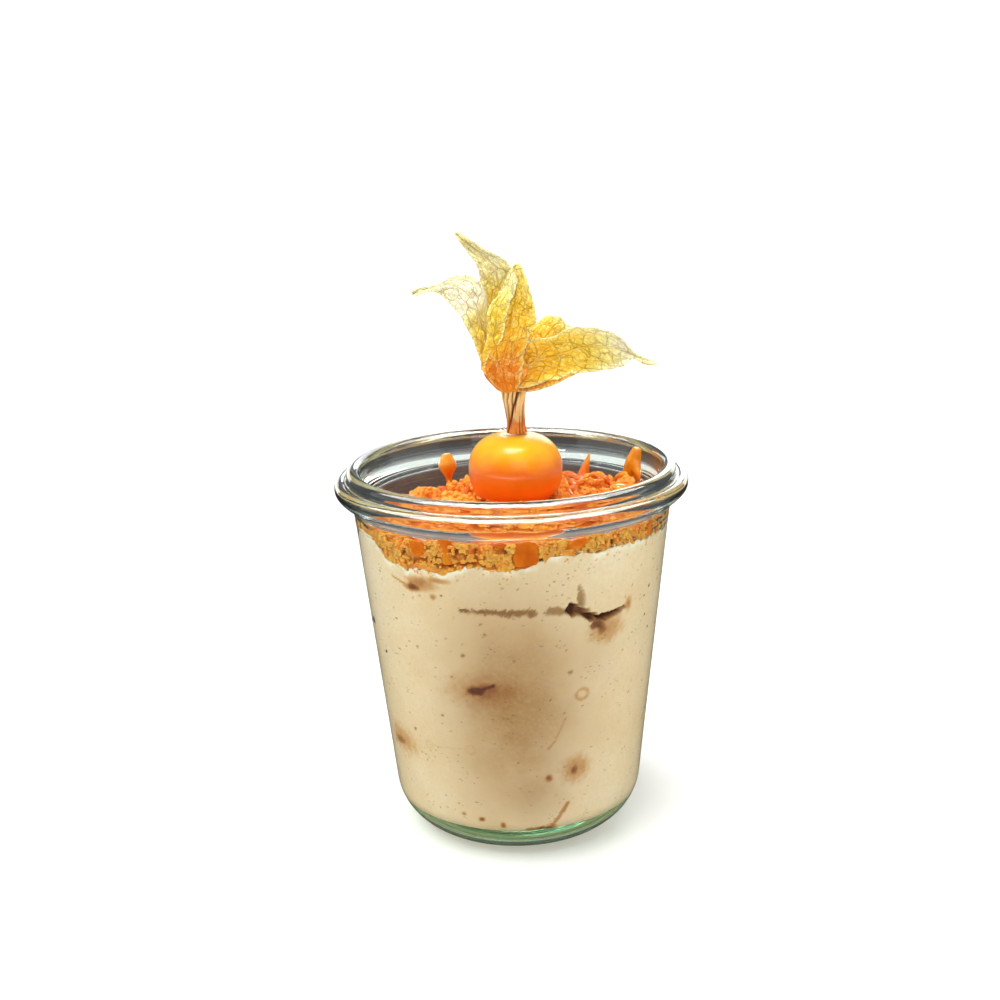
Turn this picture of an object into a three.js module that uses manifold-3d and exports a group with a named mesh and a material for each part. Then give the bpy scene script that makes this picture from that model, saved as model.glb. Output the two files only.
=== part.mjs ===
// A tapered glass dessert jar filled with tiramisu cream, topped with caramelised biscuit crumble,
// caramel sauce and a golden berry that wears its folded-back papery husk.
// Millimetres, +Z up. The origin is the centre of the jar's foot; the jar's axis is the Z axis.
import * as THREE from 'three';
import { mergeVertices } from 'three/addons/utils/BufferGeometryUtils.js';
import Module from 'manifold-3d';

const wasm = await Module();
wasm.setup();

// ---------------------------------------------------------------- driving dimensions
const RIM_DIAMETER = 70;
const JAR_HEIGHT = 75;
const GAP = 0.3; // clearance between pieces that touch

const jar = {
  segments: 48,
  footInner: 12.2, // flat ring that the jar stands on
  footOuter: 15.2,
  footRecess: 0.8,
  cornerRadius: 10.2,
  taperTop: { r: 31.5, z: 67.2 },
  beadRadius: RIM_DIAMETER / 2,
  beadHeight: 71.3,
  lipCentre: 31.3,
  lipRadius: 1.3,
  floor: 6.2, // the thick base
  wallLow: { r: 22.87, z: 9.8 }, // inner wall, where the floor's rounding ends
  wallHigh: { r: 28.85, z: 66.6 },
};

const cream = { segments: 36, rings: 5, level: 61.9, slope: 0.035, ripple: 0.35 };

const heap = { level: 66.3, forward: 0.05, right: 0.04, ripple: 0.5, rimDrop: 0.8 };

const berry = { x: 0.9, z: 73.3, radius: 9.35, halfHeight: 7.5, power: 2.35 };

const husk = { thickness: 0.5, neckFoot: 81.1, neckTop: 89.6, neckRadius: 2.25, cupRadius: 5.6 };

// ---------------------------------------------------------------- small tools
const TAU = Math.PI * 2;
const rad = THREE.MathUtils.degToRad;
const v2 = (x, y) => new THREE.Vector2(x, y);
const v3 = (x, y, z) => new THREE.Vector3(x, y, z);
const mix = THREE.MathUtils.lerp;

function seeded(seed) {
  let state = seed;
  return () => {
    state = (state + 0x6d2b79f5) | 0;
    let t = Math.imul(state ^ (state >>> 15), 1 | state);
    t = (t + Math.imul(t ^ (t >>> 7), 61 | t)) ^ t;
    return ((t ^ (t >>> 14)) >>> 0) / 4294967296;
  };
}

// Points of a circular arc, from angle a0 to a1 in degrees, for a lathe profile.
function arc(x, y, radius, a0, a1, steps) {
  const points = [];
  for (let i = 0; i <= steps; i++) {
    const a = rad(mix(a0, a1, i / steps));
    points.push(v2(x + radius * Math.cos(a), y + radius * Math.sin(a)));
  }
  return points;
}

// Shares the vertices of a geometry and drops the faces that have no area.
function welded(geometry) {
  const bare = geometry.clone();
  bare.deleteAttribute('normal');
  bare.deleteAttribute('uv');
  const merged = mergeVertices(bare, 1e-4);
  const faces = [];
  for (let i = 0; i < merged.index.count; i += 3) {
    const [a, b, c] = [0, 1, 2].map((k) => merged.index.getX(i + k));
    if (a !== b && b !== c && c !== a) faces.push(a, b, c);
  }
  merged.setIndex(faces);
  return merged;
}

// A closed surface of revolution about Z, from a profile of (radius, height) points.
function lathe(profile, segments) {
  const geometry = new THREE.LatheGeometry(profile, segments);
  geometry.rotateX(Math.PI / 2);
  return welded(geometry);
}

function signedVolume(geometry) {
  const p = geometry.attributes.position;
  const [a, b, c] = [v3(), v3(), v3()];
  let sum = 0;
  for (let i = 0; i < geometry.index.count; i += 3) {
    a.fromBufferAttribute(p, geometry.index.getX(i));
    b.fromBufferAttribute(p, geometry.index.getX(i + 1));
    c.fromBufferAttribute(p, geometry.index.getX(i + 2));
    sum += a.dot(b.cross(c)) / 6;
  }
  return sum;
}

// Turns a geometry inside out where its faces point inwards.
function outward(geometry) {
  if (signedVolume(geometry) > 0) return geometry;
  const index = geometry.index;
  for (let i = 0; i < index.count; i += 3) {
    const b = index.getX(i + 1);
    index.setX(i + 1, index.getX(i + 2));
    index.setX(i + 2, b);
  }
  return geometry;
}

function solid(geometry) {
  const shared = outward(welded(geometry));
  return new wasm.Manifold(new wasm.Mesh({
    numProp: 3,
    vertProperties: new Float32Array(shared.attributes.position.array),
    triVerts: new Uint32Array(shared.index.array),
  }));
}

// The largest body of a solid as a geometry: loose scraps and sealed hollows are left out.
function largest(body) {
  const best = body.decompose().reduce((a, b) => (b.volume() > a.volume() ? b : a));
  const mesh = best.getMesh();
  const geometry = new THREE.BufferGeometry();
  geometry.setAttribute('position', new THREE.Float32BufferAttribute(mesh.vertProperties, 3));
  geometry.setIndex(Array.from(mesh.triVerts));
  return geometry;
}

const joined = (bodies) => bodies.reduce((whole, body) => whole.add(body));

const group = new THREE.Group();

function addMesh(name, geometry, color, roughness, extra = {}) {
  const shown = geometry.toNonIndexed();
  shown.computeVertexNormals();
  const material = new THREE.MeshStandardMaterial({ color, roughness, metalness: 0, ...extra });
  const mesh = new THREE.Mesh(mergeVertices(shown, 1e-6), material);
  mesh.name = name;
  group.add(mesh);
}

// ---------------------------------------------------------------- jar
const wallSlope = (jar.wallHigh.r - jar.wallLow.r) / (jar.wallHigh.z - jar.wallLow.z);
const innerRadius = (z) => jar.wallHigh.r - wallSlope * (jar.wallHigh.z - z);

function jarOutside() {
  const bend = jar.cornerRadius;
  const { r, z } = jar.taperTop;
  const bead = jar.beadRadius;
  const mid = jar.beadHeight;
  return [
    v2(0, jar.footRecess + 0.2),
    v2(jar.footInner - 2.5, jar.footRecess),
    v2(jar.footInner, 0),
    ...arc(jar.footOuter, bend, bend, -90, 0, 7),
    v2(r, z),
    v2(r + 0.5, z + 0.8),
    v2(bead - 1.3, z + 1.9),
    v2(bead - 0.3, mid - 1.2),
    v2(bead, mid - 0.4),
    v2(bead, mid + 0.4),
    v2(bead - 0.4, mid + 1.2),
    v2(bead - 1.2, mid + 1.55),
    v2(jar.lipCentre + jar.lipRadius + 0.3, mid + 1.25), // groove between bead and lip
    ...arc(jar.lipCentre, JAR_HEIGHT - jar.lipRadius, jar.lipRadius, 0, 180, 6),
  ];
}

function jarInside() {
  const { r, z } = jar.wallHigh;
  const low = jar.wallLow;
  const bend = low.z - jar.floor;
  return [
    v2(r + 0.75, z + 5.6),
    v2(r + 0.4, z + 3.8),
    v2(r + 0.1, z + 1.8),
    v2(r, z),
    ...arc(low.r - bend, low.z, bend, 0, -90, 5),
    v2(0, jar.floor + 0.2),
  ];
}

addMesh('jar', lathe([...jarOutside(), ...jarInside(), jarOutside()[0]], jar.segments),
  0xdfe9e4, 0.05, { transparent: true, opacity: 0.35 });

// The room inside the glass above the cream, less the clearance: what tops the cream stays in it.
function headRoom(top) {
  const profile = [
    v2(0, 50),
    v2(innerRadius(50) - GAP, 50),
    v2(jar.wallHigh.r - GAP, jar.wallHigh.z),
    v2(jar.wallHigh.r - GAP + 0.4, top),
    v2(0, top),
  ];
  return solid(lathe(profile, cream.segments));
}

// ---------------------------------------------------------------- cream
const bearing = (x, y) => Math.atan2(y, x);

// Height of the cream's top: tilted, rippled, and smeared up the glass on the left.
function creamTop(x, y) {
  const ripples = Math.sin(0.42 * x + 0.9) * Math.cos(0.35 * y) + Math.sin(0.8 * y - 0.5 * x) * 0.6;
  const wall = THREE.MathUtils.smoothstep(Math.hypot(x, y), 23.5, 27.5);
  const offLeft = (bearing(x, y) + rad(158)) / rad(13);
  return cream.level + cream.slope * x + cream.ripple * ripples + 3.4 * wall * Math.exp(-offLeft * offLeft);
}

const fillReach = innerRadius(61.5) - GAP;

// A solid of revolution whose top, from the end of the outline inwards, follows a height function.
function toppedBy(height, outline, segments = cream.segments, rings = cream.rings) {
  const lid = 200;
  const across = [];
  for (let i = rings; i >= 0; i--) across.push(v2((fillReach * i) / rings, lid));
  const geometry = lathe([...outline(lid), ...across], segments);
  const p = geometry.attributes.position;
  for (let i = 0; i < p.count; i++) {
    if (p.getZ(i) > lid - 1) p.setZ(i, height(p.getX(i), p.getY(i)));
  }
  return solid(geometry);
}

// A rough lump at a place, with its first axis along the place's bearing from the jar's axis.
function lump([x, y, z], size, detail, seed, jitter = 0.22) {
  const random = seeded(seed);
  const geometry = welded(new THREE.IcosahedronGeometry(1, detail));
  const p = geometry.attributes.position;
  for (let i = 0; i < p.count; i++) {
    const grow = 1 + jitter * (2 * random() - 1);
    p.setXYZ(i, p.getX(i) * grow, p.getY(i) * grow, p.getZ(i) * grow);
  }
  geometry.scale(size[0], size[1], size[2]);
  geometry.rotateZ(bearing(x, y));
  geometry.translate(x, y, z);
  return geometry;
}

// A point on the cream's face against the glass: compass bearing in degrees, height, depth inwards.
function atWall(degrees, z, depth = 0) {
  const r = innerRadius(z) - GAP - depth;
  return [r * Math.cos(rad(degrees)), r * Math.sin(rad(degrees)), z];
}

function creamBody() {
  const low = jar.wallLow;
  const bend = low.z - jar.floor - GAP;
  return toppedBy(creamTop, () => [
    v2(0, jar.floor + 0.2 + GAP),
    ...arc(low.r - GAP - bend, low.z, bend, -90, 0, 5),
    v2(innerRadius(58) - GAP, 58),
  ]);
}

// Pieces of soaked biscuit that lie against the glass. A size is half the depth, width and height.
const soaked = [
  { bearing: -128.8, z: 56.8, size: [2.4, 3.6, 1.7] },
  { bearing: -51, z: 46.2, size: [2.2, 2.4, 2.4] },
  { bearing: -107.6, z: 36.6, size: [3.2, 4.8, 2.3] },
  { bearing: -152, z: 22.2, size: [2.4, 2.8, 2.2] },
  { bearing: -66, z: 18.6, size: [2.6, 4.2, 2.0] },
  { bearing: -73, z: 9.8, size: [2.4, 4.4, 2.2] },
];

// The ragged hole and the long crack in the cream's face.
const pits = [
  { bearing: -62.7, z: 54.8, size: [1.8, 1.5, 2.2] },
  { bearing: -67, z: 52.5, size: [2.6, 1.9, 1.4], detail: 1 },
  { bearing: -60.2, z: 50.7, size: [2.8, 2.7, 1.3] },
  { bearing: -54.2, z: 50.1, size: [2.7, 2.5, 1.3] },
  { bearing: -48.6, z: 50.5, size: [2.2, 2.2, 1.1] },
  { bearing: -55.4, z: 48.4, size: [2.0, 1.4, 1.7] },
  { bearing: -96.5, z: 53.2, size: [1.2, 6.4, 0.7] },
];

function addCreamAndBiscuit() {
  const whole = creamBody();
  let pitted = whole;
  soaked.forEach(({ bearing: degrees, z: height, size }, i) => {
    const place = atWall(degrees, height, 0.6);
    const own = solid(lump(place, size, 1, 31 + i));
    const hole = solid(lump(place, size.map((s) => s + GAP * 1.5), 1, 31 + i));
    addMesh(`soaked_biscuit_${i + 1}`, largest(own.intersect(whole)), 0x8a5a2c, 0.75);
    pitted = pitted.subtract(hole);
  });
  pits.forEach(({ bearing: degrees, z: height, size, detail = 0 }, i) => {
    pitted = pitted.subtract(solid(lump(atWall(degrees, height), size, detail, 71 + i, 0.25)));
  });
  addMesh('cream', largest(pitted), 0xe6d7af, 0.6);
}
addCreamAndBiscuit();

// ---------------------------------------------------------------- berry
function superRound(radius, halfHeight, power, segments, rows) {
  const profile = [];
  for (let i = 0; i <= rows; i++) {
    const a = mix(-Math.PI / 2, Math.PI / 2, i / rows);
    const c = Math.abs(Math.cos(a)) ** (2 / power);
    const s = Math.sign(Math.sin(a)) * Math.abs(Math.sin(a)) ** (2 / power);
    profile.push(v2(i === 0 || i === rows ? 0 : radius * c, halfHeight * s));
  }
  return lathe(profile, segments);
}

function berryShape(extra) {
  const shape = superRound(berry.radius + extra, berry.halfHeight + extra, berry.power, 26, 13);
  return shape.translate(berry.x, 0, berry.z);
}

addMesh('berry', outward(berryShape(0)), 0xf0921e, 0.25);

// ---------------------------------------------------------------- crumble and caramel
function heapTop(x, y) {
  const wall = THREE.MathUtils.smoothstep(Math.hypot(x, y), 20, 28);
  const ripples = Math.sin(0.55 * x) * Math.cos(0.5 * y + 0.6) + 0.6 * Math.sin(0.9 * x + 0.7 * y);
  const backLeft = Math.exp(-(((x + 18) / 9) ** 2 + ((y - 16) / 9) ** 2));
  const tilt = heap.right * x - heap.forward * y;
  return heap.level + tilt + heap.ripple * ripples - heap.rimDrop * wall - 0.9 * backLeft;
}

function crumbleCore() {
  return toppedBy((x, y) => heapTop(x, y) - 1.3, () => [v2(0, 59), v2(fillReach, 59)], 24, 3);
}

// The cream and its clearance, a little wider than the jar's room: it trims the toppings from below.
function creamCover() {
  const wide = fillReach + 2;
  return toppedBy((x, y) => creamTop(x, y) + GAP, (lid) => [v2(0, 50), v2(wide, 50), v2(wide, lid)]);
}

// Broken biscuit pieces over the heap, spread by a sunflower spiral.
function biscuitChunks() {
  const random = seeded(7);
  const golden = Math.PI * (3 - Math.sqrt(5));
  const count = 40;
  const bodies = [];
  for (let i = 0; i < count; i++) {
    const r = 27.4 * Math.sqrt((i + 0.5) / count);
    const a = i * golden + 0.4 * random();
    const [x, y] = [r * Math.cos(a), r * Math.sin(a)];
    const s = mix(4.3, 2.9, random());
    const z = heapTop(x, y) - s * 0.35 + 0.9 * (random() - 0.5);
    const hidden = Math.hypot(x - berry.x, y) < berry.radius * 0.6;
    const size = [s, s * mix(0.75, 1.05, random()), s * 0.72];
    if (!hidden) bodies.push(solid(lump([x, y, z], size, 0, 200 + i, 0.24)));
  }
  return bodies;
}

// A round strand along a curve, with its own thickness at each point and closed, tapered ends.
function strand(points, radii, steps, sides = 6) {
  const curve = new THREE.CatmullRomCurve3(points.map((p) => v3(...p)));
  const frames = curve.computeFrenetFrames(steps, false);
  const positions = [];
  const faces = [];
  for (let i = 0; i <= steps; i++) {
    const t = i / steps;
    const centre = curve.getPoint(t);
    const k = t * (radii.length - 1);
    const j = Math.min(Math.floor(k), radii.length - 2);
    const radius = mix(radii[j], radii[j + 1], k - j);
    for (let s = 0; s < sides; s++) {
      const a = (TAU * s) / sides;
      const spoke = frames.normals[i].clone().multiplyScalar(radius * Math.cos(a));
      spoke.addScaledVector(frames.binormals[i], radius * Math.sin(a)).add(centre);
      positions.push(spoke.x, spoke.y, spoke.z);
    }
  }
  for (let i = 0; i < steps; i++) {
    for (let s = 0; s < sides; s++) {
      const [a, b] = [i * sides + s, i * sides + ((s + 1) % sides)];
      faces.push(a, b, a + sides, b, b + sides, a + sides);
    }
  }
  const last = steps * sides;
  for (let s = 1; s < sides - 1; s++) {
    faces.push(0, s + 1, s, last, last + s, last + s + 1);
  }
  const geometry = new THREE.BufferGeometry();
  geometry.setAttribute('position', new THREE.Float32BufferAttribute(positions, 3));
  geometry.setIndex(faces);
  return solid(geometry);
}

// Caramel that clings to the inner wall, by [bearing, height, depth off the glass] along each run.
const wallRuns = [
  { // a drop with a thin stem
    path: [[119, 62.5, 1.2], [119, 65.5, 0.9], [119.3, 68.4, 1.1], [119.2, 71.0, 1.0]],
    radii: [1.2, 0.8, 2.1, 0.9],
  },
  { // a spike
    path: [[57, 63.2, 1.4], [55.5, 66.2, 1.0], [53.5, 70.6, 0.6]],
    radii: [2.4, 1.4, 0.4],
  },
  { // a long run down from the rim, with a side drip
    path: [[30, 63.8, 1.4], [28, 67.5, 1.1], [26, 71.5, 1.0], [25, 74.3, 0.6]],
    radii: [1.9, 1.7, 1.7, 1.0],
  },
  { path: [[26, 71.6, 1.0], [22, 69.4, 0.9], [20.2, 67.4, 0.7]], radii: [1.5, 1.0, 0.5] },
  { // a thick blob, a streak and a drop that show through the front
    path: [[-85, 63, 1.6], [-85.5, 65, 1.6], [-85.2, 68, 1.3]],
    radii: [2.6, 2.8, 1.8],
  },
  { path: [[-113, 62.6, 1.2], [-112, 68.3, 1.0]], radii: [1.0, 1.1] },
  { path: [[-31, 63.8, 1.2], [-31, 65.8, 0.9], [-31, 68, 0.6]], radii: [1.3, 1.0, 0.5] },
];

// Thick drizzle over the heap: each strand goes through these places, a little above the crumble.
const drizzle = [
  [[-22, 2], [-15, 7], [-9, 12], [-2, 17]],
  [[-20, -8], [-15, -1], [-12, 7]],
  [[10.5, 19], [12, 13], [15, 7], [21, 4]],
  [[24, 9], [18, 12], [12, 9], [13, 3]],
  [[-14, -17], [-6, -15], [3, -18], [12, -15], [20, -11]],
];

function caramel() {
  const runs = wallRuns.map(({ path, radii }) => {
    const points = path.map(([degrees, z, depth]) => {
      const [x, y] = atWall(degrees, Math.min(z, jar.wallHigh.z), depth);
      return [x, y, z];
    });
    return strand(points, radii, 5);
  });
  const strands = drizzle.map((places) => {
    const points = places.map(([x, y]) => [x, y, heapTop(x, y) + 0.5]);
    return strand(points, [0.9, 1.2, 0.8, 1.1, 0.8], 8, 5);
  });
  return [...runs, ...strands];
}

const crumble = joined([crumbleCore(), ...biscuitChunks(), ...caramel()])
  .intersect(headRoom(75.5))
  .subtract(creamCover())
  .subtract(solid(berryShape(GAP)));
addMesh('crumble', largest(crumble), 0xd98a3a, 0.7);

// ---------------------------------------------------------------- husk
// A ribbed, slightly twisted bundle: the stem and the gathered base of the husk.
function huskNeck() {
  const sides = 36;
  const rows = 5;
  const profile = [v2(0, 0)];
  for (let i = 0; i <= rows; i++) profile.push(v2(1, i / rows));
  profile.push(v2(0, 1));
  const geometry = lathe(profile, sides);
  const p = geometry.attributes.position;
  for (let i = 0; i < p.count; i++) {
    const t = p.getZ(i);
    const share = Math.hypot(p.getX(i), p.getY(i));
    const angle = bearing(p.getX(i), p.getY(i));
    const ribs = 1 + 0.13 * Math.abs(Math.cos(4.5 * angle)) - 0.07;
    const swell = mix(0.95, 1.12, Math.sin(Math.PI * Math.min(1, t * 0.9)));
    const reach = share * husk.neckRadius * ribs * swell;
    const turned = angle + 0.5 * t;
    const lean = mix(1.4, 0.8, t);
    const height = mix(husk.neckFoot, husk.neckTop, t);
    p.setXYZ(i, lean + reach * Math.cos(turned), reach * Math.sin(turned), height);
  }
  return solid(geometry);
}

// The cup that the five lobes share above the neck, open at the top.
function huskCup() {
  const r = husk.cupRadius;
  const z = husk.neckTop - 0.8;
  const t = husk.thickness + 0.15;
  const outside = [[2.3, 0.1], [r - 2.1, 1.4], [r - 0.6, 3.2], [r, 5.4], [r - 0.3, 7.4]];
  const inside = [[r - 0.3 - t, 7.4], [r - t, 5.4], [r - 0.6 - t, 3.5], [r - 2.3 - t, 2.1]];
  const profile = [[0, 0], ...outside, ...inside, [0, 1.7]].map(([x, y]) => v2(x, z + y));
  const geometry = lathe(profile, 20);
  return solid(geometry.translate(0.4, 0, 0));
}

// A thin wavy sheet between two edges that run from the husk's cup to the lobe's tip.
function lobe({ left, right, bulge, waves = 1.5, seed = 1, rows = 10, columns = 5 }) {
  const random = seeded(seed);
  const phase = random() * TAU;
  const edges = [left, right].map((points) => new THREE.CatmullRomCurve3(points.map((p) => v3(...p))));
  const side = (columns + 1) * (rows + 1);
  const middle = [];
  const at = (i, j) => i * (columns + 1) + j;
  for (let i = 0; i <= rows; i++) {
    const [a, b] = edges.map((curve) => curve.getPoint(i / rows));
    const along = edges[0].getTangent(i / rows);
    const out = b.clone().sub(a).cross(along).normalize();
    for (let j = 0; j <= columns; j++) {
      const v = j / columns;
      const crown = 4 * v * (1 - v) * Math.sin(Math.PI * Math.min(1, 0.15 + i / rows));
      const wave = 0.32 * Math.sin(waves * TAU * (i / rows) + phase + 4 * v) * Math.sin(Math.PI * v);
      middle.push(a.clone().lerp(b, v).addScaledVector(out, bulge * crown + wave));
    }
  }
  const normals = middle.map(() => v3(0, 0, 0));
  const quads = [];
  for (let i = 0; i < rows; i++) {
    for (let j = 0; j < columns; j++) {
      const corners = [at(i, j), at(i, j + 1), at(i + 1, j + 1), at(i + 1, j)];
      quads.push(corners);
      const [a, b, c, d] = corners.map((k) => middle[k]);
      const face = c.clone().sub(a).cross(d.clone().sub(b));
      corners.forEach((k) => normals[k].add(face));
    }
  }
  const positions = [];
  for (const offset of [0.5, -0.5]) {
    middle.forEach((point, k) => {
      const p = point.clone().addScaledVector(normals[k].normalize(), offset * husk.thickness);
      positions.push(p.x, p.y, p.z);
    });
  }
  const faces = [];
  for (const [a, b, c, d] of quads) {
    faces.push(a, b, c, a, c, d);
    faces.push(a + side, c + side, b + side, a + side, d + side, c + side);
  }
  const rim = [];
  for (let j = 0; j < columns; j++) rim.push(at(0, j));
  for (let i = 0; i < rows; i++) rim.push(at(i, columns));
  for (let j = columns; j > 0; j--) rim.push(at(rows, j));
  for (let i = rows; i > 0; i--) rim.push(at(i, 0));
  rim.forEach((a, k) => {
    const b = rim[(k + 1) % rim.length];
    faces.push(a, a + side, b, b, a + side, b + side);
  });
  const geometry = new THREE.BufferGeometry();
  geometry.setAttribute('position', new THREE.Float32BufferAttribute(positions, 3));
  geometry.setIndex(faces);
  return solid(geometry);
}

// Each lobe's two edges from the cup to the tip, its crown in mm and its waves.
const lobes = [
  { // front, standing up to a peak
    left: [[-3, -3.4, 91.6], [-4.9, -4, 94.6], [-3.9, -4.8, 99], [-3.3, -5, 104.6], [-1, -4.8, 109],
      [1.2, -4.3, 113.6]],
    right: [[0.8, -3.8, 91.2], [2.8, -5.2, 95], [3.7, -5.7, 99.8], [5.5, -5.3, 103.6], [4.4, -4.7, 109.5],
      [2.8, -4.2, 114.2]],
    bulge: 1.0, waves: 1.2, seed: 3,
  },
  { // the front lobe's left margin, curled over towards the right
    left: [[-5.1, -3.6, 93.8], [-4.6, -4.4, 97.2], [-3.5, -5, 101], [-3.4, -5.2, 105.4],
      [-0.9, -5, 109.2], [0.9, -4.5, 113.2]],
    right: [[-4.4, -4.7, 94.6], [-3.4, -5.8, 97.4], [-0.8, -6.7, 100.2], [0.1, -7, 105],
      [1.2, -6.6, 108.2], [2.5, -5.3, 111.2]],
    bulge: 0.5, waves: 1.1, seed: 5, rows: 9, columns: 3,
  },
  { // tall, behind, leaning left
    left: [[-3.6, 2, 94], [-4.2, 3, 101], [-4.6, 3.6, 108], [-5.6, 4, 113], [-8, 4, 116.6],
      [-9.9, 3.6, 119.4]],
    right: [[1, 3.6, 94], [1.6, 4.4, 101], [1.8, 4.8, 108], [0.6, 4.6, 113.2], [-4, 4.4, 116.2],
      [-8.9, 3.8, 119.8]],
    bulge: -0.9, waves: 1.3, seed: 8, columns: 4,
  },
  { // left, with a curled tip
    left: [[-4.6, -2, 94.4], [-6.5, -1.6, 99], [-9.2, -1, 104], [-12, -0.4, 107.6], [-14.4, 0, 108.7],
      [-17.6, 0.2, 107.9]],
    right: [[-2.4, 2, 95], [-3.4, 2.6, 103], [-4.8, 2.4, 109.6], [-8.9, 1.4, 111.5], [-13.8, 0.6, 110],
      [-18.5, 0, 109]],
    bulge: 0.9, waves: 1.6, seed: 12,
  },
  { // right, wide and drooping to a narrow tip
    left: [[1.4, -3, 95.5], [3.8, -4.6, 99.4], [8, -4.2, 99.9], [13.8, -3.2, 101.7], [20.6, -2.4, 99.9],
      [24.8, -2, 96], [28.9, -1.8, 94.3]],
    right: [[0.6, -2.6, 90.6], [3.8, -4.2, 89.6], [8.8, -4.6, 90.8], [14, -3.6, 92.1], [20, -2.8, 93.2],
      [24.6, -2.2, 94.4], [28.4, -1.8, 93.5]],
    bulge: -1.5, waves: 2.2, seed: 17, rows: 13,
  },
  { // back right, arching away
    left: [[1.5, 3.2, 95], [4, 5, 99.8], [7.4, 9, 101.9], [10.2, 13, 101], [12, 16.5, 98.5]],
    right: [[4.4, 1.6, 92.4], [8, 4, 95.6], [11.4, 8, 98.6], [13.2, 12.4, 98.9], [12.7, 16.4, 97.7]],
    bulge: 0.9, waves: 1.4, seed: 21, rows: 9, columns: 4,
  },
];

const huskSolid = joined([huskNeck(), huskCup(), ...lobes.map(lobe)]);
addMesh('husk', largest(huskSolid), 0xf1c956, 0.6, { side: THREE.DoubleSide });

export default group;
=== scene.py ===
"""A tapered glass jar of tiramisu cream, with crumble, caramel and a golden berry in its husk.

Places and sizes are in millimetres, +Z up, with the origin at the centre of the jar's foot,
and become metres where a mesh is made. A bearing is a compass direction on the jar in degrees:
0 is +X, the right of the picture, and -90 is -Y, towards the camera."""
import itertools
import math

import bmesh
import bpy
import numpy as np
from mathutils import Matrix, Vector, kdtree
from mathutils.bvhtree import BVHTree


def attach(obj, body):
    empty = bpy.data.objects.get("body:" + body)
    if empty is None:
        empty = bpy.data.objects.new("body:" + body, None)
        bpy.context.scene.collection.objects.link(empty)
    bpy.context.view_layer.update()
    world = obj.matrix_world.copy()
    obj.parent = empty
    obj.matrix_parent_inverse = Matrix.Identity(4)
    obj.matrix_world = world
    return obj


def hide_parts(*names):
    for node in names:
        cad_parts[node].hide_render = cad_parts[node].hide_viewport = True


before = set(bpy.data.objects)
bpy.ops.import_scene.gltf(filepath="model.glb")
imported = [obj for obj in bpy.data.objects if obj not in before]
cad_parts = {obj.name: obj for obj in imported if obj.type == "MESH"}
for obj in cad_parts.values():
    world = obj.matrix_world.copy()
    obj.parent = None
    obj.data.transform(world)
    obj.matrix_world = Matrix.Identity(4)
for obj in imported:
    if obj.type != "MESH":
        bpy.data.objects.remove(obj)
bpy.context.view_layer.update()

MM = 0.001
TAU = 2 * math.pi

# ---------------------------------------------------------------- sizes
RIM_RADIUS = 35.0
FOOT_BEND = dict(r=15.2, z=10.2, radius=10.2)
TAPER_TOP = (31.5, 67.2)
TAPER_ANGLE = 6.1
LIP = dict(r=31.3, z=73.7, radius=1.3)
WALL_LOW = (22.87, 9.8)
WALL_HIGH = (28.85, 66.6)
INNER_BEND = 3.6
FLOOR = dict(edge=6.2, middle=6.4)
NECK_LINES = (66.9, 65.7, 64.6)  # fine ridges that run round the glass below the bead
INTO_WALL = 0.06  # how far the filling reaches into the glass, so that no air shows between
BERRY = dict(x=0.9, z=73.3, radius=9.35, half_height=7.5, power=2.35)
NECK = dict(foot=80.7, top=90.2, radius=2.25)
CUP = dict(x=0.4, z=88.8, radius=5.6)
SHEET = 0.26  # thickness of the husk
TABLE = dict(radius=600, wall=430)
TOP_AT_WALL = 62.0  # about where the top of the cream meets the glass
BY_THE_WALL = 28  # radius at which crumble lies against the glass
HEAP_LEVEL = 66.0  # where sauce lies if nothing is found under it
COUNT = dict(bubbles=210, chunks=84, pressed=92, grains=2300, crumbs=1500, pools=64)


# ---------------------------------------------------------------- numbers
def srgb(red, green, blue):
    """A colour from 0..255 as the linear values that shaders use."""
    return tuple((c / 255 / 12.92) if c < 11 else ((c / 255 + 0.055) / 1.055) ** 2.4
                 for c in (red, green, blue)) + (1.0,)


def smoothstep(x, low, high):
    t = np.clip((x - low) / (high - low), 0, 1)
    return t * t * (3 - 2 * t)


def noise(points, scale, seed=0):
    """Smooth value noise from -1 to 1 at points (n, 3), with cells of 1 / scale."""
    p = np.asarray(points, float) * scale + np.array([seed * 7.31, seed * 3.17, seed * 5.71])
    cell = np.floor(p).astype(np.int64)
    part = p - cell
    ease = part * part * (3 - 2 * part)
    total = np.zeros(len(p))
    for corner in itertools.product((0, 1), repeat=3):
        c = cell + np.array(corner)
        h = (c[:, 0] * 73856093) ^ (c[:, 1] * 19349663) ^ (c[:, 2] * 83492791)
        h = ((h ^ (h >> 13)) * 1274126177) & 0xFFFFFFFF
        value = ((h ^ (h >> 15)) & 0xFFFF) / 32767.5 - 1
        weight = np.prod(np.where(corner, ease, 1 - ease), axis=1)
        total += value * weight
    return total


def fractal(points, scale, octaves=4, seed=0, gain=0.5):
    total = np.zeros(len(points))
    height = 1.0
    for octave in range(octaves):
        total += height * noise(points, scale * 2 ** octave, seed + 11 * octave)
        height *= gain
    return total


def spline(points, params):
    """Points of a Catmull-Rom curve through the given points, at params from 0 to 1."""
    p = np.asarray(points, float)
    p = np.vstack([2 * p[0] - p[1], p, 2 * p[-1] - p[-2]])
    k = np.clip(np.asarray(params, float), 0, 1) * (len(p) - 3)
    i = np.minimum(np.floor(k).astype(int), len(p) - 4)
    t = (k - i)[:, None]
    a, b, c, d = p[i], p[i + 1], p[i + 2], p[i + 3]
    return 0.5 * (2 * b + (c - a) * t + (2 * a - 5 * b + 4 * c - d) * t ** 2
                  + (3 * b - a - 3 * c + d) * t ** 3)


def arc(r, z, radius, start, end, steps):
    a = np.radians(np.linspace(start, end, steps + 1))
    return np.column_stack([r + radius * np.cos(a), z + radius * np.sin(a)])


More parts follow.
